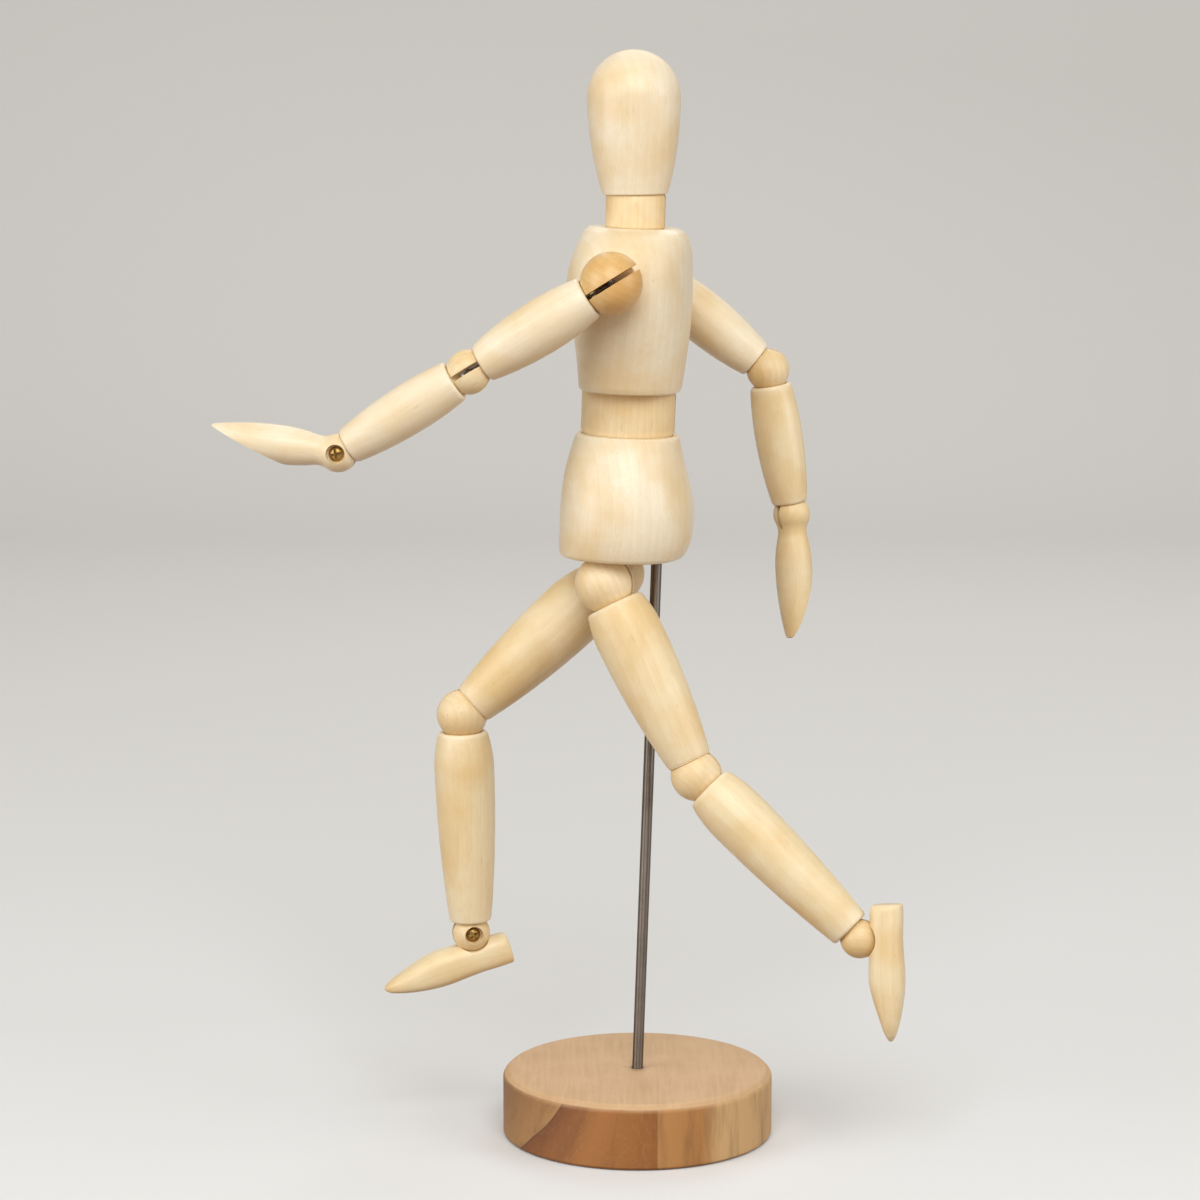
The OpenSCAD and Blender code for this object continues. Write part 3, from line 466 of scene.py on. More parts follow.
# lime wood, turned and fine sanded under a thin lacquer: cream, nearly no figure, soft highlights
limeLook = {
    "pale": "#F5EBD3", "warm": "#E9CE9B", "late": "#E1C28C", "pore": "#C29D66", "paleRim": "#FAF3E0",
    "ring": 2.6, "heart": (3.0, 11.0, 0.0), "drift": 2.2, "patch": 0.7, "ringStrength": 0.16, "fibre": 0.24,
    "fleck": 0.24, "rough": (0.36, 0.50), "bump": 0.16, "lacquer": 0.35}
limeWood = woodFinish("limeWood", limeLook)
# legs, the far forearm and the far hand take a yellower copy of the same wood
yellowLimeWood = woodFinish("yellowLimeWood", {**limeLook, "pale": "#F3E4BF", "warm": "#E5C486",
                                               "late": "#DBB679"})
# the same wood cut across for the balls: end grain drinks the lacquer and turns honey-coloured
ballLook = {
    "pale": "#F4E2BC", "warm": "#E6C589", "late": "#DAB377", "pore": "#B0844D", "paleRim": "#F6E7C6",
    "ring": 1.9, "heart": (2.0, 6.0, 0.0), "drift": 1.6, "patch": 0.8, "ringStrength": 0.20, "fibre": 0.22,
    "fleck": 0.30, "rough": (0.40, 0.56), "bump": 0.20, "lacquer": 0.2}
ballWood = woodFinish("ballLimeWood", ballLook)
# shoulder balls: a darker, browner copy of the ball wood, painted shade for the half shade they sit in, with
# a soft shine
shadedBallWood = woodFinish("shadedBallWood", {**ballLook, "pale": "#EDCF90", "warm": "#D9A75F",
                                             "late": "#C58D48", "pore": "#94642E", "rough": (0.32, 0.46),
                                             "lacquer": 0.35})

# base: short boards of pale hardwood glued side by side and turned
# the wall shows thirsty end grain, browner than the top; boards as mm across and tone
boardSet = {"top": "#D8B68F", "topDark": "#C39D74", "streak": "#74482A", "pit": "#D2AE7E",
            "paleRim": "#C8A67C", "lean": 0.6, "half": 37.5,
            "boards": [(-37.5, "#8A6039"), (-27.0, "#A67B4E"), (-21.3, "#B08657"), (-21.1, "#5E3B22"),
                       (-20.9, "#7C4A28"), (-10.0, "#AC733F"), (4.7, "#96602F"), (4.9, "#6B4426"),
                       (5.1, "#BC8A53"), (17.0, "#B27D45"), (22.0, "#D3AE7B"), (37.5, "#D2AD7C")]}
boardWood, tree, shader = newFinish("gluedBoardWood")
spotMm = vectors(tree, "MULTIPLY", addNode(tree, "ShaderNodeTexCoord").outputs["Object"], (1000,) * 3)
xyz = addNode(tree, "ShaderNodeSeparateXYZ", {0: spotMm.outputs[0]})
# the outer glue line was planed at a slant: it leans out towards the foot of the wall
share = ranged(tree, xyz.outputs["X"], -28.8, 0.0, 1.2, 0.0)
below = maths(tree, "SUBTRACT", 16.0, xyz.outputs["Z"])
shift = maths(tree, "MULTIPLY", share.outputs[0], below.outputs[0])
across = maths(tree, "MULTIPLY_ADD", shift.outputs[0], boardSet["lean"], xyz.outputs["X"])
along = addNode(tree, "ShaderNodeCombineXYZ", {0: across.outputs[0], 1: xyz.outputs["Y"],
                                               2: xyz.outputs["Z"]})
place = ranged(tree, across.outputs[0], -boardSet["half"], boardSet["half"], 0.0, 1.0)
boards = addNode(tree, "ShaderNodeValToRGB", {"Fac": place.outputs[0]})
stops = boards.color_ramp.elements
for n, (x, tone) in enumerate(boardSet["boards"]):
    at = x / (2 * boardSet["half"]) + 0.5
    stop = stops[0] if n == 0 else stops.new(at) if n < len(boardSet["boards"]) - 1 else stops[-1]
    stop.position = at
    stop.color = linear(tone)
# long grain on the top face: lines along Y, 1.3 mm apart and 22 mm long, under soft stains 14 mm wide
topMap = mapped(tree, spotMm.outputs[0], (1 / 1.3, 1 / 22, 1 / 3), turn=(0, 0, math.radians(16)))
topGrain = noise(tree, topMap.outputs[0], 1.0, 2.0, 0.5)
stain = noise(tree, spotMm.outputs[0], 1 / 14, 3.0, 0.6)
topMix = maths(tree, "MULTIPLY", topGrain.outputs[0], stain.outputs[0])
topAmount = ranged(tree, topMix.outputs[0], 0.16, 0.42, 0.0, 0.6)
topColour = mixed(tree, topAmount.outputs[0], linear(boardSet["top"]), linear(boardSet["topDark"]))
# end grain on the wall: upright smears about 4 mm wide, with torn short fibres
wallMap = mapped(tree, along.outputs[0], (1 / 4.0, 1 / 4.0, 1 / 34))
smear = noise(tree, wallMap.outputs[0], 1.0, 4.0, 0.62)
smearAmount = ranged(tree, smear.outputs[0], 0.48, 0.74, 0.0, 0.55)
tornMap = mapped(tree, along.outputs[0], (1 / 0.7, 1 / 0.7, 1 / 1.6), turn=(0, math.radians(25), 0))
torn = noise(tree, tornMap.outputs[0], 1.0, 4.0, 0.7)
tornAmount = ranged(tree, torn.outputs[0], 0.50, 0.74, 0.0, 0.16)
streaked = mixed(tree, smearAmount.outputs[0], boards.outputs[0], linear(boardSet["streak"]))
wallColour = mixed(tree, tornAmount.outputs[0], streaked.outputs[2], linear(boardSet["pit"]))
sideWall = addNode(tree, "ShaderNodeAttribute", attribute_name="endGrain")
wood = mixed(tree, sideWall.outputs["Fac"], topColour.outputs[2], wallColour.outputs[2])
# bevel paler, unevenly
rim = addNode(tree, "ShaderNodeAttribute", attribute_name="rim")
rimNoise = noise(tree, spotMm.outputs[0], 1 / 5, 3.0)
rimAmount = ranged(tree, rimNoise.outputs[0], 0.35, 0.65, 0.35, 1.0)
rimShare = maths(tree, "MULTIPLY", rim.outputs["Fac"], rimAmount.outputs[0])
paleRim = mixed(tree, rimShare.outputs[0], wood.outputs[2], linear(boardSet["paleRim"]))
tree.links.new(paleRim.outputs[2], shader.inputs["Base Color"])
gloss = ranged(tree, torn.outputs[0], 0.3, 0.7, 0.50, 0.68)
tree.links.new(gloss.outputs[0], shader.inputs["Roughness"])
rise = maths(tree, "ADD", torn.outputs[0], topGrain.outputs[0])
bump = addNode(tree, "ShaderNodeBump", {"Height": rise.outputs[0], "Strength": 0.16, "Distance": 0.06 * mm})
tree.links.new(bump.outputs[0], shader.inputs["Normal"])
shader.inputs["IOR"].default_value = 1.5


def metalFinish(name, look):  # colour, darker tarnish, roughness range, lines drawn along local z
    material, tree, shader = newFinish(name)
    place = vectors(tree, "MULTIPLY", addNode(tree, "ShaderNodeTexCoord").outputs["Object"], (1000,) * 3)
    lines = mapped(tree, place.outputs[0], look["lines"])
    drawn = noise(tree, lines.outputs[0], 1.0, 3.0)
    stain = noise(tree, place.outputs[0], look["stain"], 4.0, 0.65)
    stainAmount = ranged(tree, stain.outputs[0], 0.45, 0.72, 0.0, look["tarnish"])
    colour = mixed(tree, stainAmount.outputs[0], linear(look["bright"]), linear(look["dull"]))
    tree.links.new(colour.outputs[2], shader.inputs["Base Color"])
    gloss = ranged(tree, drawn.outputs[0], 0.3, 0.7, look["rough"][0], look["rough"][1])
    tree.links.new(gloss.outputs[0], shader.inputs["Roughness"])
    bump = addNode(tree, "ShaderNodeBump", {"Height": drawn.outputs[0], "Strength": 0.12,
                                            "Distance": 0.02 * mm})
    tree.links.new(bump.outputs[0], shader.inputs["Normal"])
    shader.inputs["Metallic"].default_value = 1.0
    return material


# ground steel rod: grinding lines run round it, so a lamp shows as one long streak; its colours are set
# darker than bare steel, a painted reflection of a dark room, which darkens the edges
groundSteel = metalFinish("groundSteel", {"bright": "#8C8279", "dull": "#64594F", "rough": (0.44, 0.50),
                                          "lines": (0.4, 0.4, 9), "stain": 0.09, "tarnish": 0.6})
tree, shader = groundSteel.node_tree, groundSteel.node_tree.nodes["Principled BSDF"]
lay = addNode(tree, "ShaderNodeTangent", direction_type="UV_MAP", uv_map="lay")
tree.links.new(lay.outputs[0], shader.inputs["Tangent"])
shader.inputs["Anisotropic"].default_value = 1.0
# music wire: patented and drawn, bright grey
springWire = metalFinish("springWire", {"bright": "#9B9994", "dull": "#7A766F", "rough": (0.22, 0.34),
                                        "lines": (2, 2, 2), "stain": 0.2, "tarnish": 0.4})
# brass wood screws gone brown in the recess
agedBrass = metalFinish("agedBrass", {"bright": "#A8874F", "dull": "#4F3820", "rough": (0.26, 0.42),
                                      "lines": (3, 3, 3), "stain": 0.8, "tarnish": 0.85})
print("finishes mixed")

# turned limbs
# mm: radii at top, belly and lower rim, depth of the belly, length, how far each rim is from its ball
limbSizes = {"upper_arm": {"radii": (5.8, 7.3, 5.3), "belly": 14.5, "length": 33.5,
                           "balls": ("shoulder", "elbow"), "rims": (6.9, 4.3)},
             "forearm": {"radii": (5.7, 6.7, 4.9), "belly": 13.5, "length": 33.8,
                         "balls": ("elbow", "wrist"), "rims": (4.2, 3.3)},
             "thigh": {"radii": (7.9, 9.4, 6.1), "belly": 10, "length": 47.4,
                       "balls": ("hip", "knee"), "rims": (6.0, 4.2)},
             "shin": {"radii": (6.7, 8.3, 5.8), "belly": 10.5, "length": 53.8,
                      "balls": ("knee", "ankle"), "rims": (4.8, 3.5)}}
limbEnds = {"upper_arm": ("shoulder_swing", "elbow_bend"), "forearm": ("elbow_bend", "wrist_bend"),
            "thigh": ("hip_swing", "knee_bend"), "shin": ("knee_bend", "ankle_bend")}
wall = {"cupGap": 0.18, "bore": 2.7, "edge": 0.9, "cupEdge": 0.3, "lip": 0.6}


def limbOutline(s):
    topR, bellyR, lowR = s["radii"]
    topCup, lowCup = (ballSet[b] + wall["cupGap"] for b in s["balls"])
    topRim, lowRim = s["rims"]
    z0, z1 = -topRim, -topRim - s["length"]
    z2 = z1 - lowRim  # centre of the lower ball
    out = [(r, z0 + z) for r, z in barrel(topR, bellyR, lowR, s["belly"], s["length"])]
    topMouth = math.sqrt(topCup ** 2 - topRim ** 2)
    lowMouth = math.sqrt(lowCup ** 2 - lowRim ** 2)
    lip = wall["lip"]
    upper = fillet([(topMouth - lip, z0 - lip * topMouth / topRim, 0), (topMouth, z0, wall["cupEdge"]),
                    (out[0][0], z0, wall["edge"]), (out[2][0], out[2][1], 0)])
    lower = fillet([(out[-3][0], out[-3][1], 0), (out[-1][0], z1, wall["edge"]),
                    (lowMouth, z1, wall["cupEdge"]), (lowMouth - lip, z1 + lip * lowMouth / lowRim, 0)])
    a0, a1 = math.asin(wall["bore"] / topCup), math.asin((topMouth - lip) / topCup)
    topArc = [(topCup * math.sin(a0 + (a1 - a0) * k / 10), -topCup * math.cos(a0 + (a1 - a0) * k / 10))
              for k in range(10)]
    b0, b1 = math.asin((lowMouth - lip) / lowCup), math.asin(wall["bore"] / lowCup)
    lowArc = [(lowCup * math.sin(b0 + (b1 - b0) * k / 10),
               z2 + lowCup * math.cos(b0 + (b1 - b0) * k / 10)) for k in range(1, 11)]
    points = topArc + upper[1:-1] + out[2:-2] + lower[1:-1] + lowArc
    return points + [points[0]]


def markRims(piece, place, edges, reach):  # 1 on an edge, fading to 0
    back = place.inverted()
    rim = piece.data.attributes.new("rim", "FLOAT", "POINT")
    values = []
    for v in piece.data.vertices:
        p = back @ v.co
        near = min(math.hypot(math.hypot(p.x, p.y) - r, p.z - z) for r, z in edges)
        values.append(max(0.0, 1 - near / reach))
    rim.data.foreach_set("value", values)


seed = 0
for kind, s in limbSizes.items():
    for side in ("left", "right"):
        seed += 1
        name = side + "_" + kind
        place = hanging(*(side + "_" + j for j in limbEnds[kind]))
        wood = yellowLimeWood if kind in ("thigh", "shin") or name == "right_forearm" else limeWood
        mesh = onLathe(name + "_wood", limbOutline(s), wood)
        sharpen(mesh, 50)
        piece = finished(name + "_wood", mesh, place, wood, name, name, seed)
        z0 = -s["rims"][0]
        markRims(piece, place, [(s["radii"][0], z0), (s["radii"][2], z0 - s["length"])], 1.6)
print("limbs turned")

# head, an egg without a face
headSet = {"dome": 12.6, "low": 8.8, "taper": 26.0, "cup": ballSet["neck"] + wall["cupGap"], "rim": 4.5,
           "edge": 0.45, "cupEdge": 0.25}
domeZ = headSet["rim"] + headSet["taper"]
narrowing = headSet["dome"] - headSet["low"]
taperArc = (headSet["taper"] ** 2 + narrowing ** 2) / (2 * narrowing)
points = [(headSet["dome"] * math.sin(a), domeZ + headSet["dome"] * math.cos(a))
          for a in [math.pi / 2 * k / 24 for k in range(24)]]
side = []
for k in range(25):
    d = headSet["taper"] * k / 24
    side.append((headSet["dome"] - taperArc + math.sqrt(taperArc ** 2 - d * d), domeZ - d))
mouth = math.sqrt(headSet["cup"] ** 2 - headSet["rim"] ** 2)
points += side[:-2]
points += fillet([(*side[-3], 0), (side[-1][0], headSet["rim"], headSet["edge"]),
                  (mouth, headSet["rim"], headSet["cupEdge"]),
                  (mouth - 0.5, headSet["rim"] + 0.8, 0)])[1:-1]
a0, a1 = math.atan2(mouth - 0.4, headSet["rim"] + 0.7), math.asin(wall["bore"] / headSet["cup"])
points += [(headSet["cup"] * math.sin(a0 + (a1 - a0) * k / 12),
            headSet["cup"] * math.cos(a0 + (a1 - a0) * k / 12)) for k in range(13)]
points += [(wall["bore"], domeZ), (0, domeZ)]
mesh = onLathe("head_wood", points, limeWood, 128)
sharpen(mesh, 50)
head = finished("head_wood", mesh, headPlace, limeWood, "head", "head", 11)
markRims(head, headPlace, [(headSet["low"], headSet["rim"])], 1.6)
print("head turned")


# slotted balls and barrels
def slotted(name, radius, eyeRoom, place, body, node, seed, barrelR=None, flip=False, wood=ballWood):
    if barrelR:  # waist and neck: a barrel with two round ends
        ring = [(0, -radius)] + [(radius * math.sin(a), -radius * math.cos(a))
                                 for a in [math.asin(barrelR / radius) * k / 20 for k in range(1, 21)]]
        ring += [(r, -z) for r, z in ring[::-1]]
        blank = onLathe(name, ring, wood)
    else:
        blank = ballMesh(radius, turn="Y")
    mesh = carved(blank, [slotMesh(radius, eyeRoom)])
    if flip:
        mesh.transform(Matrix.Rotation(math.pi, 4, "X"))
    sharpen(mesh)
    return finished(name, mesh, place, wood, body, node, seed)


pinEye, screwEye = slotSet["pinEye"], slotSet["screwEye"]
slotted("waist_barrel", ballSet["waist"], pinEye, waistPlace, "waist", "waist_ball", 21,
        barrelSet["waist"], True)
slotted("neck_barrel", ballSet["neck"], pinEye, neckPlace, "neck", "neck_ball", 22, barrelSet["neck"])
for k, side in enumerate(("left", "right")):
    hand = -1 if side == "left" else 1
    # the shoulder's slot lies across: pin along X, web towards the chest
    swing = axis(side + "_shoulder_swing")
    shoulder = placed(spot(side + "_shoulder_swing"),
                      swing.cross(axis(side + "_shoulder_raise") * hand) * -1, swing)
    inward = shoulder @ Matrix.Rotation(-hand * math.pi / 2, 4, "X") @ Matrix.Rotation(math.pi / 2, 4, "Z")
    # shoulder balls take the darker copy of the ball wood: painted shade
    slotted(side + "_shoulder_wood", ballSet["shoulder"], pinEye, inward, side + "_shoulder",
            side + "_shoulder_ball", 31 + k, wood=shadedBallWood)
    for kind, lowKind in (("elbow", "forearm"), ("knee", "shin")):
        radius = ballSet[kind]
        limb = hanging(*(side + "_" + j for j in limbEnds[lowKind]))
        place = placed(spot(side + "_%s_bend" % kind), limb.col[2].xyz, axis(side + "_%s_bend" % kind))
        slotted(side + "_%s_wood" % kind, radius, pinEye, place, side + "_" + kind,
                side + "_%s_ball" % kind, 33 + 2 * k + radius)
    limb = hanging(side + "_hip_swing", side + "_knee_bend")
    place = placed(spot(side + "_hip_swing"), limb.col[2].xyz, axis(side + "_hip_swing"))
    slotted(side + "_hip_wood", ballSet["hip"], pinEye, place, side + "_hip", side + "_hip_ball", 45 + k)
print("balls slotted")


# carved blocks: rows of rounded sections, smoothed between
def smoothRows(rows, steps=4):  # Catmull-Rom through the rows
    out = []
    for k in range(len(rows) - 1):
        p0, p1, p2, p3 = rows[max(k - 1, 0)], rows[k], rows[k + 1], rows[min(k + 2, len(rows) - 1)]
        for s in range(steps):
            t = s / steps
            row = [p1[0] + (p2[0] - p1[0]) * t]
            for a, b, c, d in zip(p0[1:], p1[1:], p2[1:], p3[1:]):
                row.append(b + (c - b) * t if c == b else 0.5 * (2 * b + (c - a) * t
                        + (2 * a - 5 * b + 4 * c - d) * t * t + (3 * b - a - 3 * c + d) * t ** 3))
            out.append(row)
    return out + [list(rows[-1])]


def sectionPoint(a, front, back, half, power):
    c, s = math.cos(a), math.sin(a)
    depth = front if c < 0 else back
    return (math.copysign(depth * abs(c) ** (2 / power), c), math.copysign(half * abs(s) ** (2 / power), s))


def loftMesh(rings):
    work = bmesh.new()
    loops = [[work.verts.new(p) for p in ring] for ring in rings]
    n = len(loops[0])
    for a, b in zip(loops, loops[1:]):
        for i in range(n):
            work.faces.new((a[i], a[(i + 1) % n], b[(i + 1) % n], b[i]))
    for loop in (loops[0], loops[-1]):  # end caps as fans, so that cuts stay clean
        middle = work.verts.new(sum((v.co for v in loop), Vector()) / n)
        for i in range(n):
            work.faces.new((loop[i], loop[(i + 1) % n], middle))
    bmesh.ops.recalc_face_normals(work, faces=work.faces)
    mesh = bpy.data.meshes.new("loft")
    work.to_mesh(mesh)
    work.free()
    return mesh


# mm: height, front, back, half width of each section
pelvisSet = {"rows": [[0, 16.74, 15.83, 19.62], [0.27, 17.09, 16.36, 20.07], [0.9, 17.26, 16.97, 20.52],
                      [2, 17.33, 17.49, 20.96], [3.6, 17.35, 18.1, 21.47], [6, 17.35, 18.6, 22],
                      [9, 17.3, 18.85, 22.3], [12, 17.25, 18.85, 22.3], [16, 17.1, 18.3, 21.8],
                      [20, 16.8, 17.3, 20.9], [24, 16.2, 16.2, 19.6], [28, 15.3, 15.1, 18],
                      [31, 14.5, 14.4, 16.4], [32.7, 13.95, 14, 15.3], [33.2, 13.5, 13.6, 14.7]],
             "power": 2.3, "hip": (-3.4, 10, -6.9), "rod": 9.3, "edges": [(14.2, 33.0), (18.0, 0.2)]}
chestSet = {"rows": [[0, 13, 13.6, 16.6], [0.35, 13.4, 14, 17.1], [1.1, 13.6, 14.2, 17.5],
                     [5, 13.9, 14.7, 18.7], [9, 14.4, 15.1, 20], [14, 15.2, 15.6, 21.6],
                     [19, 16.2, 15.9, 23], [24, 17.1, 16, 24.2], [28, 17.5, 15.9, 24.8],
                     [31, 17.35, 15.8, 24.9], [34, 16.8, 15.7, 24.5], [37, 15.9, 15.5, 23.2],
                     [39.5, 15, 15.1, 21.2], [41.5, 14.2, 14.4, 18.6], [43, 13.4, 13.4, 15.6],
                     [43.9, 12.4, 12, 12.6]], "power": 2.25, "shoulder": (-1.4, 31.5, 36.8),
            "edges": [(14.5, 6.2), (12.4, 49.8)]}
cups = {name: ballSet[name] + wall["cupGap"] for name in ("waist", "neck", "hip", "shoulder")}
rodRoom = 1.55  # radius of the pelvis bore for the rod, mm


def blockMesh(s, lift=0.0, n=144):
    return loftMesh([[(*sectionPoint(2 * math.pi * i / n, r[1], r[2], r[3], s["power"]), r[0] + lift)
                      for i in range(n)] for r in smoothRows(s["rows"])])


hx, hy, hz = pelvisSet["hip"]
waistZ = torso["pelvisHeight"] + torso["waistHalf"]
cutters = [ballMesh(cups["waist"], (0, 0, waistZ)), rodMesh(wall["bore"], (0, 0, 11), (0, 0, 34)),
           rodMesh(rodRoom, (pelvisSet["rod"], 0, -1), (pelvisSet["rod"], 0, 21))]
for y in (-hy, hy):
    cutters += [ballMesh(cups["hip"], (hx, y, hz)), rodMesh(wall["bore"], (hx, y, 0), (hx, y, 19))]
mesh = carved(blockMesh(pelvisSet), cutters)
sharpen(mesh, 40)
pelvis = finished("pelvis_wood", mesh, pelvisPlace, limeWood, "pelvis", "pelvis", 51)
markRims(pelvis, pelvisPlace, pelvisSet["edges"], 1.6)

sx, sy, sz = chestSet["shoulder"]
neckZ = torso["waistHalf"] + torso["chestHeight"] + torso["neckHalf"]
cutters = [ballMesh(cups["waist"]), ballMesh(cups["neck"], (0, 0, neckZ)),
           rodMesh(wall["bore"], (0, 0, 10), (0, 0, 48)),
           rodMesh(wall["bore"], (sx, -24, sz), (sx, 24, sz)), ballMesh(cups["shoulder"], (sx, -sy, sz)),
           ballMesh(cups["shoulder"], (sx, sy, sz))]
mesh = carved(blockMesh(chestSet, torso["waistHalf"]), cutters)
sharpen(mesh, 40)
chest = finished("chest_wood", mesh, waistPlace, limeWood, "chest", "chest", 52)
markRims(chest, waistPlace, chestSet["edges"], 1.8)
print("torso carved")

# hands: turned, then the palm sawn off at a slant
handSet = {"wrist": ballSet["wrist"], "neck": 4.0, "curve": 6.0, "neckAt": 6.4, "bellyAt": 15.0,
           "belly": 5.2, "tip": 2.9, "length": 35.0, "palmAt": 13.5, "slope": 20,
           "bend": {"left": 39.5, "right": 9}}
# mm: place along the foot, sole, instep, half width
footSet = {"rows": [[-9, -11.7, -3.9, 3.5], [-8.75, -11.95, -3.5, 3.9], [-8, -12, -3.2, 4.2],
                    [-4, -11.88, -2.9, 4.6], [0, -11.64, -2.7, 4.9], [5, -11.7, -2.4, 5.2],
                    [9, -11.88, -2.15, 5.25], [12, -11.82, -2.16, 5.2], [15.5, -11.46, -2.82, 4.95],
                    [19, -10.86, -3.72, 4.5], [22, -10.2, -4.62, 3.9], [24.5, -9.48, -5.34, 3.1],
                    [26.4, -8.82, -6.06, 2.1], [27.5, -8.1, -6.66, 1.1], [27.8, -7.62, -7.02, 0.5]],
           "power": 2.7, "glue": 0.03, "saddle": 0.6, "bend": {"left": -46.5, "right": -14.5}}
# mm, then shares of the ball
screwSet = {"hole": 0.93, "counterbore": 2.6, "seat": 0.5, "reach": 0.78, "past": 1.5}


def screwCuts(radius, hand):
    return [slotMesh(radius, screwEye), rodMesh(screwSet["hole"], (0, -screwSet["reach"] * radius, 0),
                                                (0, screwSet["reach"] * radius, 0)),
            rodMesh(screwSet["counterbore"], (0, hand * screwSet["seat"] * radius, 0),
                    (0, hand * screwSet["past"] * radius, 0))]


for k, side in enumerate(("left", "right")):
    hand = -1 if side == "left" else 1
    h = handSet
    wristPlace = hanging(side + "_elbow_bend", side + "_wrist_bend")
    wristPlace.translation = spot(side + "_wrist_bend")
    handPlace = bent(wristPlace, h["bend"][side])
    hollow = h["neck"] + h["curve"]  # the hollow neck is an arc about this radius
    depth = math.sqrt((h["wrist"] + h["curve"]) ** 2 - hollow ** 2)
    meet, flare = math.atan2(depth, hollow), math.asin((h["neckAt"] - depth) / h["curve"])
    knob = [(h["wrist"] * math.cos(a), h["wrist"] * math.sin(a))
            for a in [math.pi / 2 - (math.pi / 2 + meet) * i / 26 for i in range(26)]]
    knob[0] = (0, h["wrist"])
    knob += [(hollow - h["curve"] * math.cos(a), h["curve"] * math.sin(a) - depth)
             for a in [meet - (meet + flare) * i / 12 for i in range(12)]]
    flareR = hollow - h["curve"] * math.cos(flare)
    shape = [(r, z - h["neckAt"]) for r, z in barrel(flareR, h["belly"], h["tip"],
                                                     h["bellyAt"] - h["neckAt"],
                                                     h["length"] - h["neckAt"])]
    points = knob + shape[:-1] + fillet([(*shape[-2], 0), (*shape[-1], 0.8), (0, shape[-1][1], 0)])[1:]
    mesh = onLathe(side + "_hand_wood", points, limeWood)
    slope = math.radians(h["slope"])
    work = bmesh.new()
    work.from_mesh(mesh)
    bmesh.ops.recalc_face_normals(work, faces=work.faces)
    normal = Vector((math.cos(slope), 0, -math.sin(slope)))
    bmesh.ops.bisect_plane(work, geom=work.verts[:] + work.edges[:] + work.faces[:], dist=1e-5,
                           plane_co=(h["belly"], 0, -h["palmAt"]), plane_no=normal, clear_outer=True)
    border = [e for e in work.edges if e.is_boundary]
    bmesh.ops.holes_fill(work, edges=border, sides=0)
    work.to_mesh(mesh)
    work.free()
    mesh = carved(mesh, screwCuts(h["wrist"], hand))
    sharpen(mesh)
    finished(side + "_hand_wood", mesh, handPlace, limeWood if side == "left" else yellowLimeWood,
             side + "_hand", side + "_hand", 61 + k)

    f = footSet
    anklePlace = hanging(side + "_knee_bend", side + "_ankle_bend")
    anklePlace.translation = spot(side + "_ankle_bend")
    footPlace = bent(anklePlace, f["bend"][side])
    rings = []
    for x, sole, instep, half in smoothRows(f["rows"]):
        tall, mid = (instep - sole) / 2, (instep + sole) / 2
        ring = []
        for i in range(72):
            p = sectionPoint(2 * math.pi * i / 72, tall, tall, half, f["power"])
            ring.append((-x, p[1], mid + p[0]))
        rings.append(ring)
    seat = ballSet["ankle"] + f["glue"]
    saddle = rodMesh(seat, (0, -7, f["saddle"]), (0, 7, f["saddle"]), 96)  # round notch across the instep
    mesh = carved(loftMesh(rings), [ballMesh(seat), saddle])
    sharpen(mesh, 50)
    finished(side + "_foot_wood", mesh, footPlace, yellowLimeWood, side + "_foot", side + "_foot",
             63 + k, True)
    mesh = carved(ballMesh(ballSet["ankle"], turn="Y"), screwCuts(ballSet["ankle"], -hand))
    sharpen(mesh)
    finished(side + "_ankle_wood", mesh, footPlace, ballWood, side + "_foot", side + "_ankle_ball",
             65 + k)
print("hands and feet carved")

# base and rod
standSet = {"radius": 37.5, "height": 18.0, "bevel": 1.6, "foot": 0.6, "hole": 1.75, "holeDepth": 5.0,
            "lip": 0.15, "rod": 1.5, "inBase": 14.0, "free": 144.4, "inPelvis": 18.0, "chamfer": 0.4}
b = standSet
points = [(0, b["height"] - b["holeDepth"]), (b["hole"], b["height"] - b["holeDepth"]),
          (b["hole"], b["height"] - b["lip"]), (b["hole"] + b["lip"], b["height"])]
flat = b["radius"] - b["bevel"] - b["hole"] - b["lip"]
points += [(b["hole"] + b["lip"] + flat * k / 12, b["height"]) for k in range(1, 12)]
points += fillet([(b["radius"] - b["bevel"] - 2, b["height"], 0),
                  (b["radius"] - b["bevel"], b["height"], 0.7),
                  (b["radius"], b["height"] - b["bevel"], 0.7),
                  (b["radius"], b["height"] - b["bevel"] - 3, 0)])[1:]
points += [(b["radius"], 14.0 - k * 1.3) for k in range(1, 10)]
points += fillet([(b["radius"], 2.0, 0), (b["radius"], b["foot"], 0.3), (b["radius"] - b["foot"], 0, 0.3),
                  (0, 0, 0)])
mesh = onLathe("base_wood", points, boardWood, 192)
sharpen(mesh, 50)
base = finished("base_wood", mesh, basePlace, boardWood, "base", "base")
markRims(base, basePlace, [(b["radius"] - b["bevel"] * 0.55, b["height"] - b["bevel"] * 0.45)], 1.7)
endGrain = base.data.attributes.new("endGrain", "FLOAT", "POINT")
wallFrom, wallTop = (b["radius"] - 0.4) * mm, (b["height"] - b["bevel"] * 0.6) * mm
endGrain.data.foreach_set("value", [1.0 if math.hypot(v.co.x, v.co.y) > wallFrom and v.co.z < wallTop else 0.0
                                    for v in base.data.vertices])
rodPlace = placed(spot("stand_turn"), axis("stand_turn"), Vector((0, 1, 0)))
low, high, c, r = -b["inBase"], b["free"] + b["inPelvis"], b["chamfer"], b["rod"]
points = [(0, low), (r - c, low), (r, low + c)]
points += [(r, low + c + (high - low - 2 * c) * k / 40) for k in range(1, 40)]
points += [(r, high - c), (r - c, high), (0, high)]
mesh = onLathe("rod_steel", points, groundSteel, 64)
sharpen(mesh, 30)
rod = finished("rod_steel", mesh, rodPlace, groundSteel, "stand_rod", "stand_rod")
lay = rod.data.uv_layers.new(name="lay")  # u runs up the rod, v around it, mm
back = rodPlace.inverted()
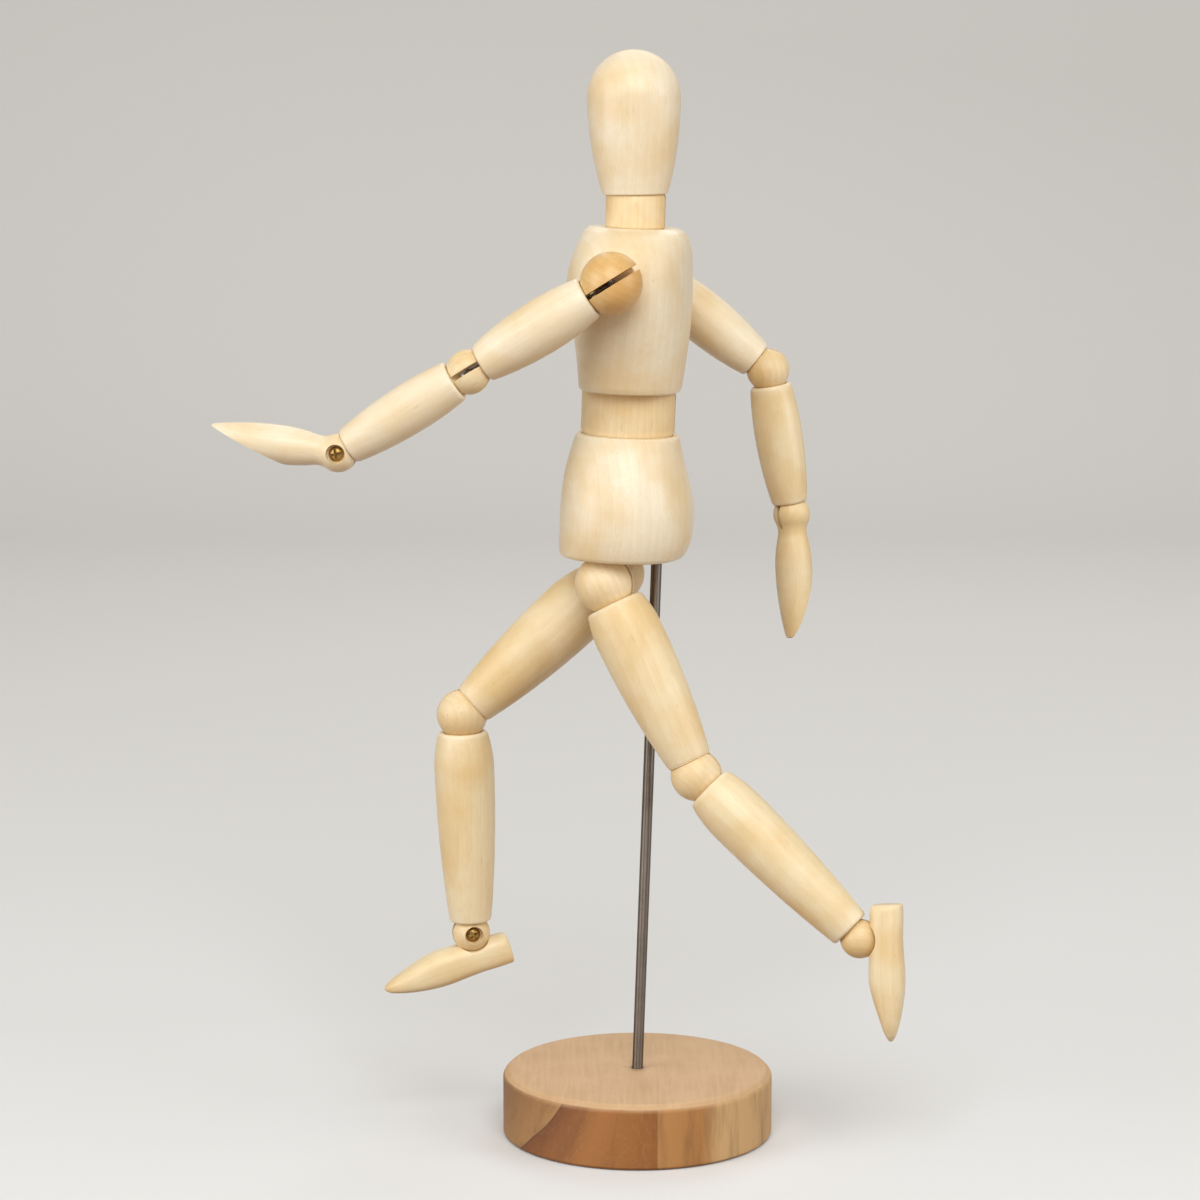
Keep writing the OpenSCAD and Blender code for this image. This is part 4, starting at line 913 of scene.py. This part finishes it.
for loop in rod.data.loops:
    p = back @ rod.data.vertices[loop.vertex_index].co
    lay.data[loop.index].uv = (p.z, r * math.atan2(p.y, p.x))
print("base and rod turned")

# close-wound springs: one tree winds every coil
coilTree = bpy.data.node_groups.new("closeCoil", "GeometryNodeTree")
for socketName, socketKind in (("Turns", "NodeSocketFloat"), ("Radius", "NodeSocketFloat"),
                               ("Length", "NodeSocketFloat"), ("Wire", "NodeSocketFloat"),
                               ("Finish", "NodeSocketMaterial")):
    coilTree.interface.new_socket(socketName, in_out="INPUT", socket_type=socketKind)
coilTree.interface.new_socket("Geometry", in_out="OUTPUT", socket_type="NodeSocketGeometry")
entry = addNode(coilTree, "NodeGroupInput")
helix = addNode(coilTree, "GeometryNodeCurveSpiral",
                {"Resolution": 24, "Rotations": entry.outputs["Turns"],
                 "Start Radius": entry.outputs["Radius"], "End Radius": entry.outputs["Radius"],
                 "Height": entry.outputs["Length"]})
wire = addNode(coilTree, "GeometryNodeCurvePrimitiveCircle",
               {"Resolution": 8, "Radius": entry.outputs["Wire"]})
wound = addNode(coilTree, "GeometryNodeCurveToMesh",
                {"Curve": helix.outputs[0], "Profile Curve": wire.outputs[0], "Fill Caps": True})
real = addNode(coilTree, "GeometryNodeRealizeInstances", {"Geometry": wound.outputs[0]})
coated = addNode(coilTree, "GeometryNodeSetMaterial",
                 {"Geometry": real.outputs[0], "Material": entry.outputs["Finish"]})
addNode(coilTree, "NodeGroupOutput", {"Geometry": coated.outputs[0]})
# mm; the spine's coils as start and length
springSet = {"wire": 0.35, "coil": 2.3, "pinEye": 1.05, "screwEye": 1.45, "gap": 0.5, "endRing": 1.15,
             "inset": 0.4, "lap": 0.6, "hipTop": 24.2, "waistLow": -25.8, "headTop": 28.5,
             "shoulderHalf": 22.7, "spineLow": (14.2, 19.4), "spineTop": (40.0, 4.9)}


def wind(start, length):  # coil from start upwards, local mm
    holder = bpy.data.objects.new("coilBlank", bpy.data.meshes.new("coilBlank"))
    scene.collection.objects.link(holder)
    modifier = holder.modifiers.new("coil", "NODES")
    modifier.node_group = coilTree
    w = springSet["wire"]
    wanted = {"Turns": (length - 2 * w) / (2 * w * 1.04), "Radius": springSet["coil"] - w,
              "Length": length - 2 * w, "Wire": w, "Finish": springWire}
    for item in coilTree.interface.items_tree:
        if item.in_out == "INPUT":
            modifier[item.identifier] = wanted[item.name]
    bpy.context.view_layer.update()
    mesh = bpy.data.meshes.new_from_object(holder.evaluated_get(bpy.context.evaluated_depsgraph_get()))
    holder.modifiers.clear()
    bpy.data.objects.remove(holder)
    mesh.transform(Matrix.Translation((0, 0, start + w)))
    return mesh


def ringMesh(radius, centre, flat):  # round wire ring; flat lies across z, otherwise it stands about Y
    work = bmesh.new()
    loops = []
    for i in range(28):
        a = 2 * math.pi * i / 28
        loops.append([])
        for k in range(8):
            t = 2 * math.pi * k / 8
            r, h = radius + springSet["wire"] * math.cos(t), springSet["wire"] * math.sin(t)
            p = (r * math.cos(a), r * math.sin(a), h) if flat else (r * math.cos(a), h, r * math.sin(a))
            loops[-1].append(work.verts.new(Vector(centre) + Vector(p)))
    for i in range(28):
        for k in range(8):
            work.faces.new((loops[i][k], loops[(i + 1) % 28][k], loops[(i + 1) % 28][(k + 1) % 8],
                            loops[i][(k + 1) % 8]))
    mesh = bpy.data.meshes.new("wireRing")
    work.to_mesh(mesh)
    work.free()
    return mesh


def springPiece(name, meshes, place, body):
    work = bmesh.new()
    for part in meshes:
        work.from_mesh(part)
    mesh = bpy.data.meshes.new(name + "_wire")
    work.to_mesh(mesh)
    work.free()
    sharpen(mesh, 60)
    finished(name + "_wire", mesh, place, springWire, body, name)


# coil, straight wire to an eye, small rings where a shank swivels
def hooked(low, high, eyeAt, eyeRadius, swivelAt=None):
    parts = [wind(low, high - low), ringMesh(eyeRadius, (0, 0, eyeAt), False)]
    end = high if eyeAt > high else low
    foot = eyeAt - eyeRadius if eyeAt > high else eyeAt + eyeRadius
    arm = springSet["coil"] - springSet["wire"]
    inner = end - springSet["inset"] if eyeAt > high else end + springSet["inset"]
    parts += [rodMesh(springSet["wire"], (0, 0, inner), (0, 0, foot), 10),
              rodMesh(springSet["wire"], (0, 0, inner), (arm, 0, inner), 10)]
    if swivelAt is not None:
        parts.append(ringMesh(springSet["endRing"], (0, 0, swivelAt), True))
    return parts


g, inset = springSet["gap"], springSet["inset"]
for side in ("left", "right"):
    for kind, s in limbSizes.items():
        length = s["rims"][0] + s["length"] + s["rims"][1]
        eye = springSet["screwEye"] if kind in ("forearm", "shin") else springSet["pinEye"]
        topBall, lowBall = (ballSet[b] for b in s["balls"])
        low, high = -length + lowBall + g, -topBall - g
        springPiece("%s_%s_spring" % (side, kind), hooked(low, high, -length, eye, high - inset),
                    hanging(*(side + "_" + j for j in limbEnds[kind])), "%s_%s" % (side, kind))
    hipPlace = placed(spot(side + "_hip_swing"), axis("waist_turn"), axis(side + "_hip_swing"))
    hipCoil = hooked(ballSet["hip"] + g, springSet["hipTop"], 0, springSet["pinEye"],
                     springSet["hipTop"] - inset)
    springPiece(side + "_hip_spring", hipCoil, hipPlace, side + "_hip_spring")
waistCoil = hooked(springSet["waistLow"], -ballSet["waist"] - g, 0, springSet["pinEye"],
                   springSet["waistLow"] + inset)
springPiece("waist_spring", waistCoil, placed(spot("waist_bend"), up, sideways), "waist_spring")
springPiece("head_spring", hooked(ballSet["neck"] + g, springSet["headTop"], 0, springSet["pinEye"]),
            headPlace, "head")
past = springSet["coil"] - springSet["wire"]
(lowStart, lowLength), (topStart, topLength) = springSet["spineLow"], springSet["spineTop"]
straight = rodMesh(springSet["wire"], (past, 0, lowStart + lowLength - inset),
                   (past, 0, topStart + springSet["lap"]), 10)
spineRings = [ringMesh(springSet["endRing"], (0, 0, z), True)
              for z in (lowStart + inset, topStart + topLength - inset)]
springPiece("spine_spring", [wind(lowStart, lowLength), wind(topStart, topLength), straight] + spineRings,
            waistPlace, "chest")
across = waistPlace @ Matrix.Translation((sx, 0, sz)) @ Matrix.Rotation(math.pi / 2, 4, "X")
half = springSet["shoulderHalf"]
shoulderRings = [ringMesh(springSet["endRing"], (0, 0, z), True) for z in (inset - half, half - inset)]
springPiece("shoulder_spring", [wind(-half, 2 * half)] + shoulderRings, across, "chest")
print("springs wound")

# the cast and turned metal keeps its own shape
for name, node in nodes.items():
    finish = agedBrass if name.endswith("_screw") or name == "pelvis_studs" else springWire
    if name.endswith(("_screw", "_studs", "_stirrup", "_hook")):
        node.data.materials.clear()
        node.data.materials.append(finish)
print("metal finished")
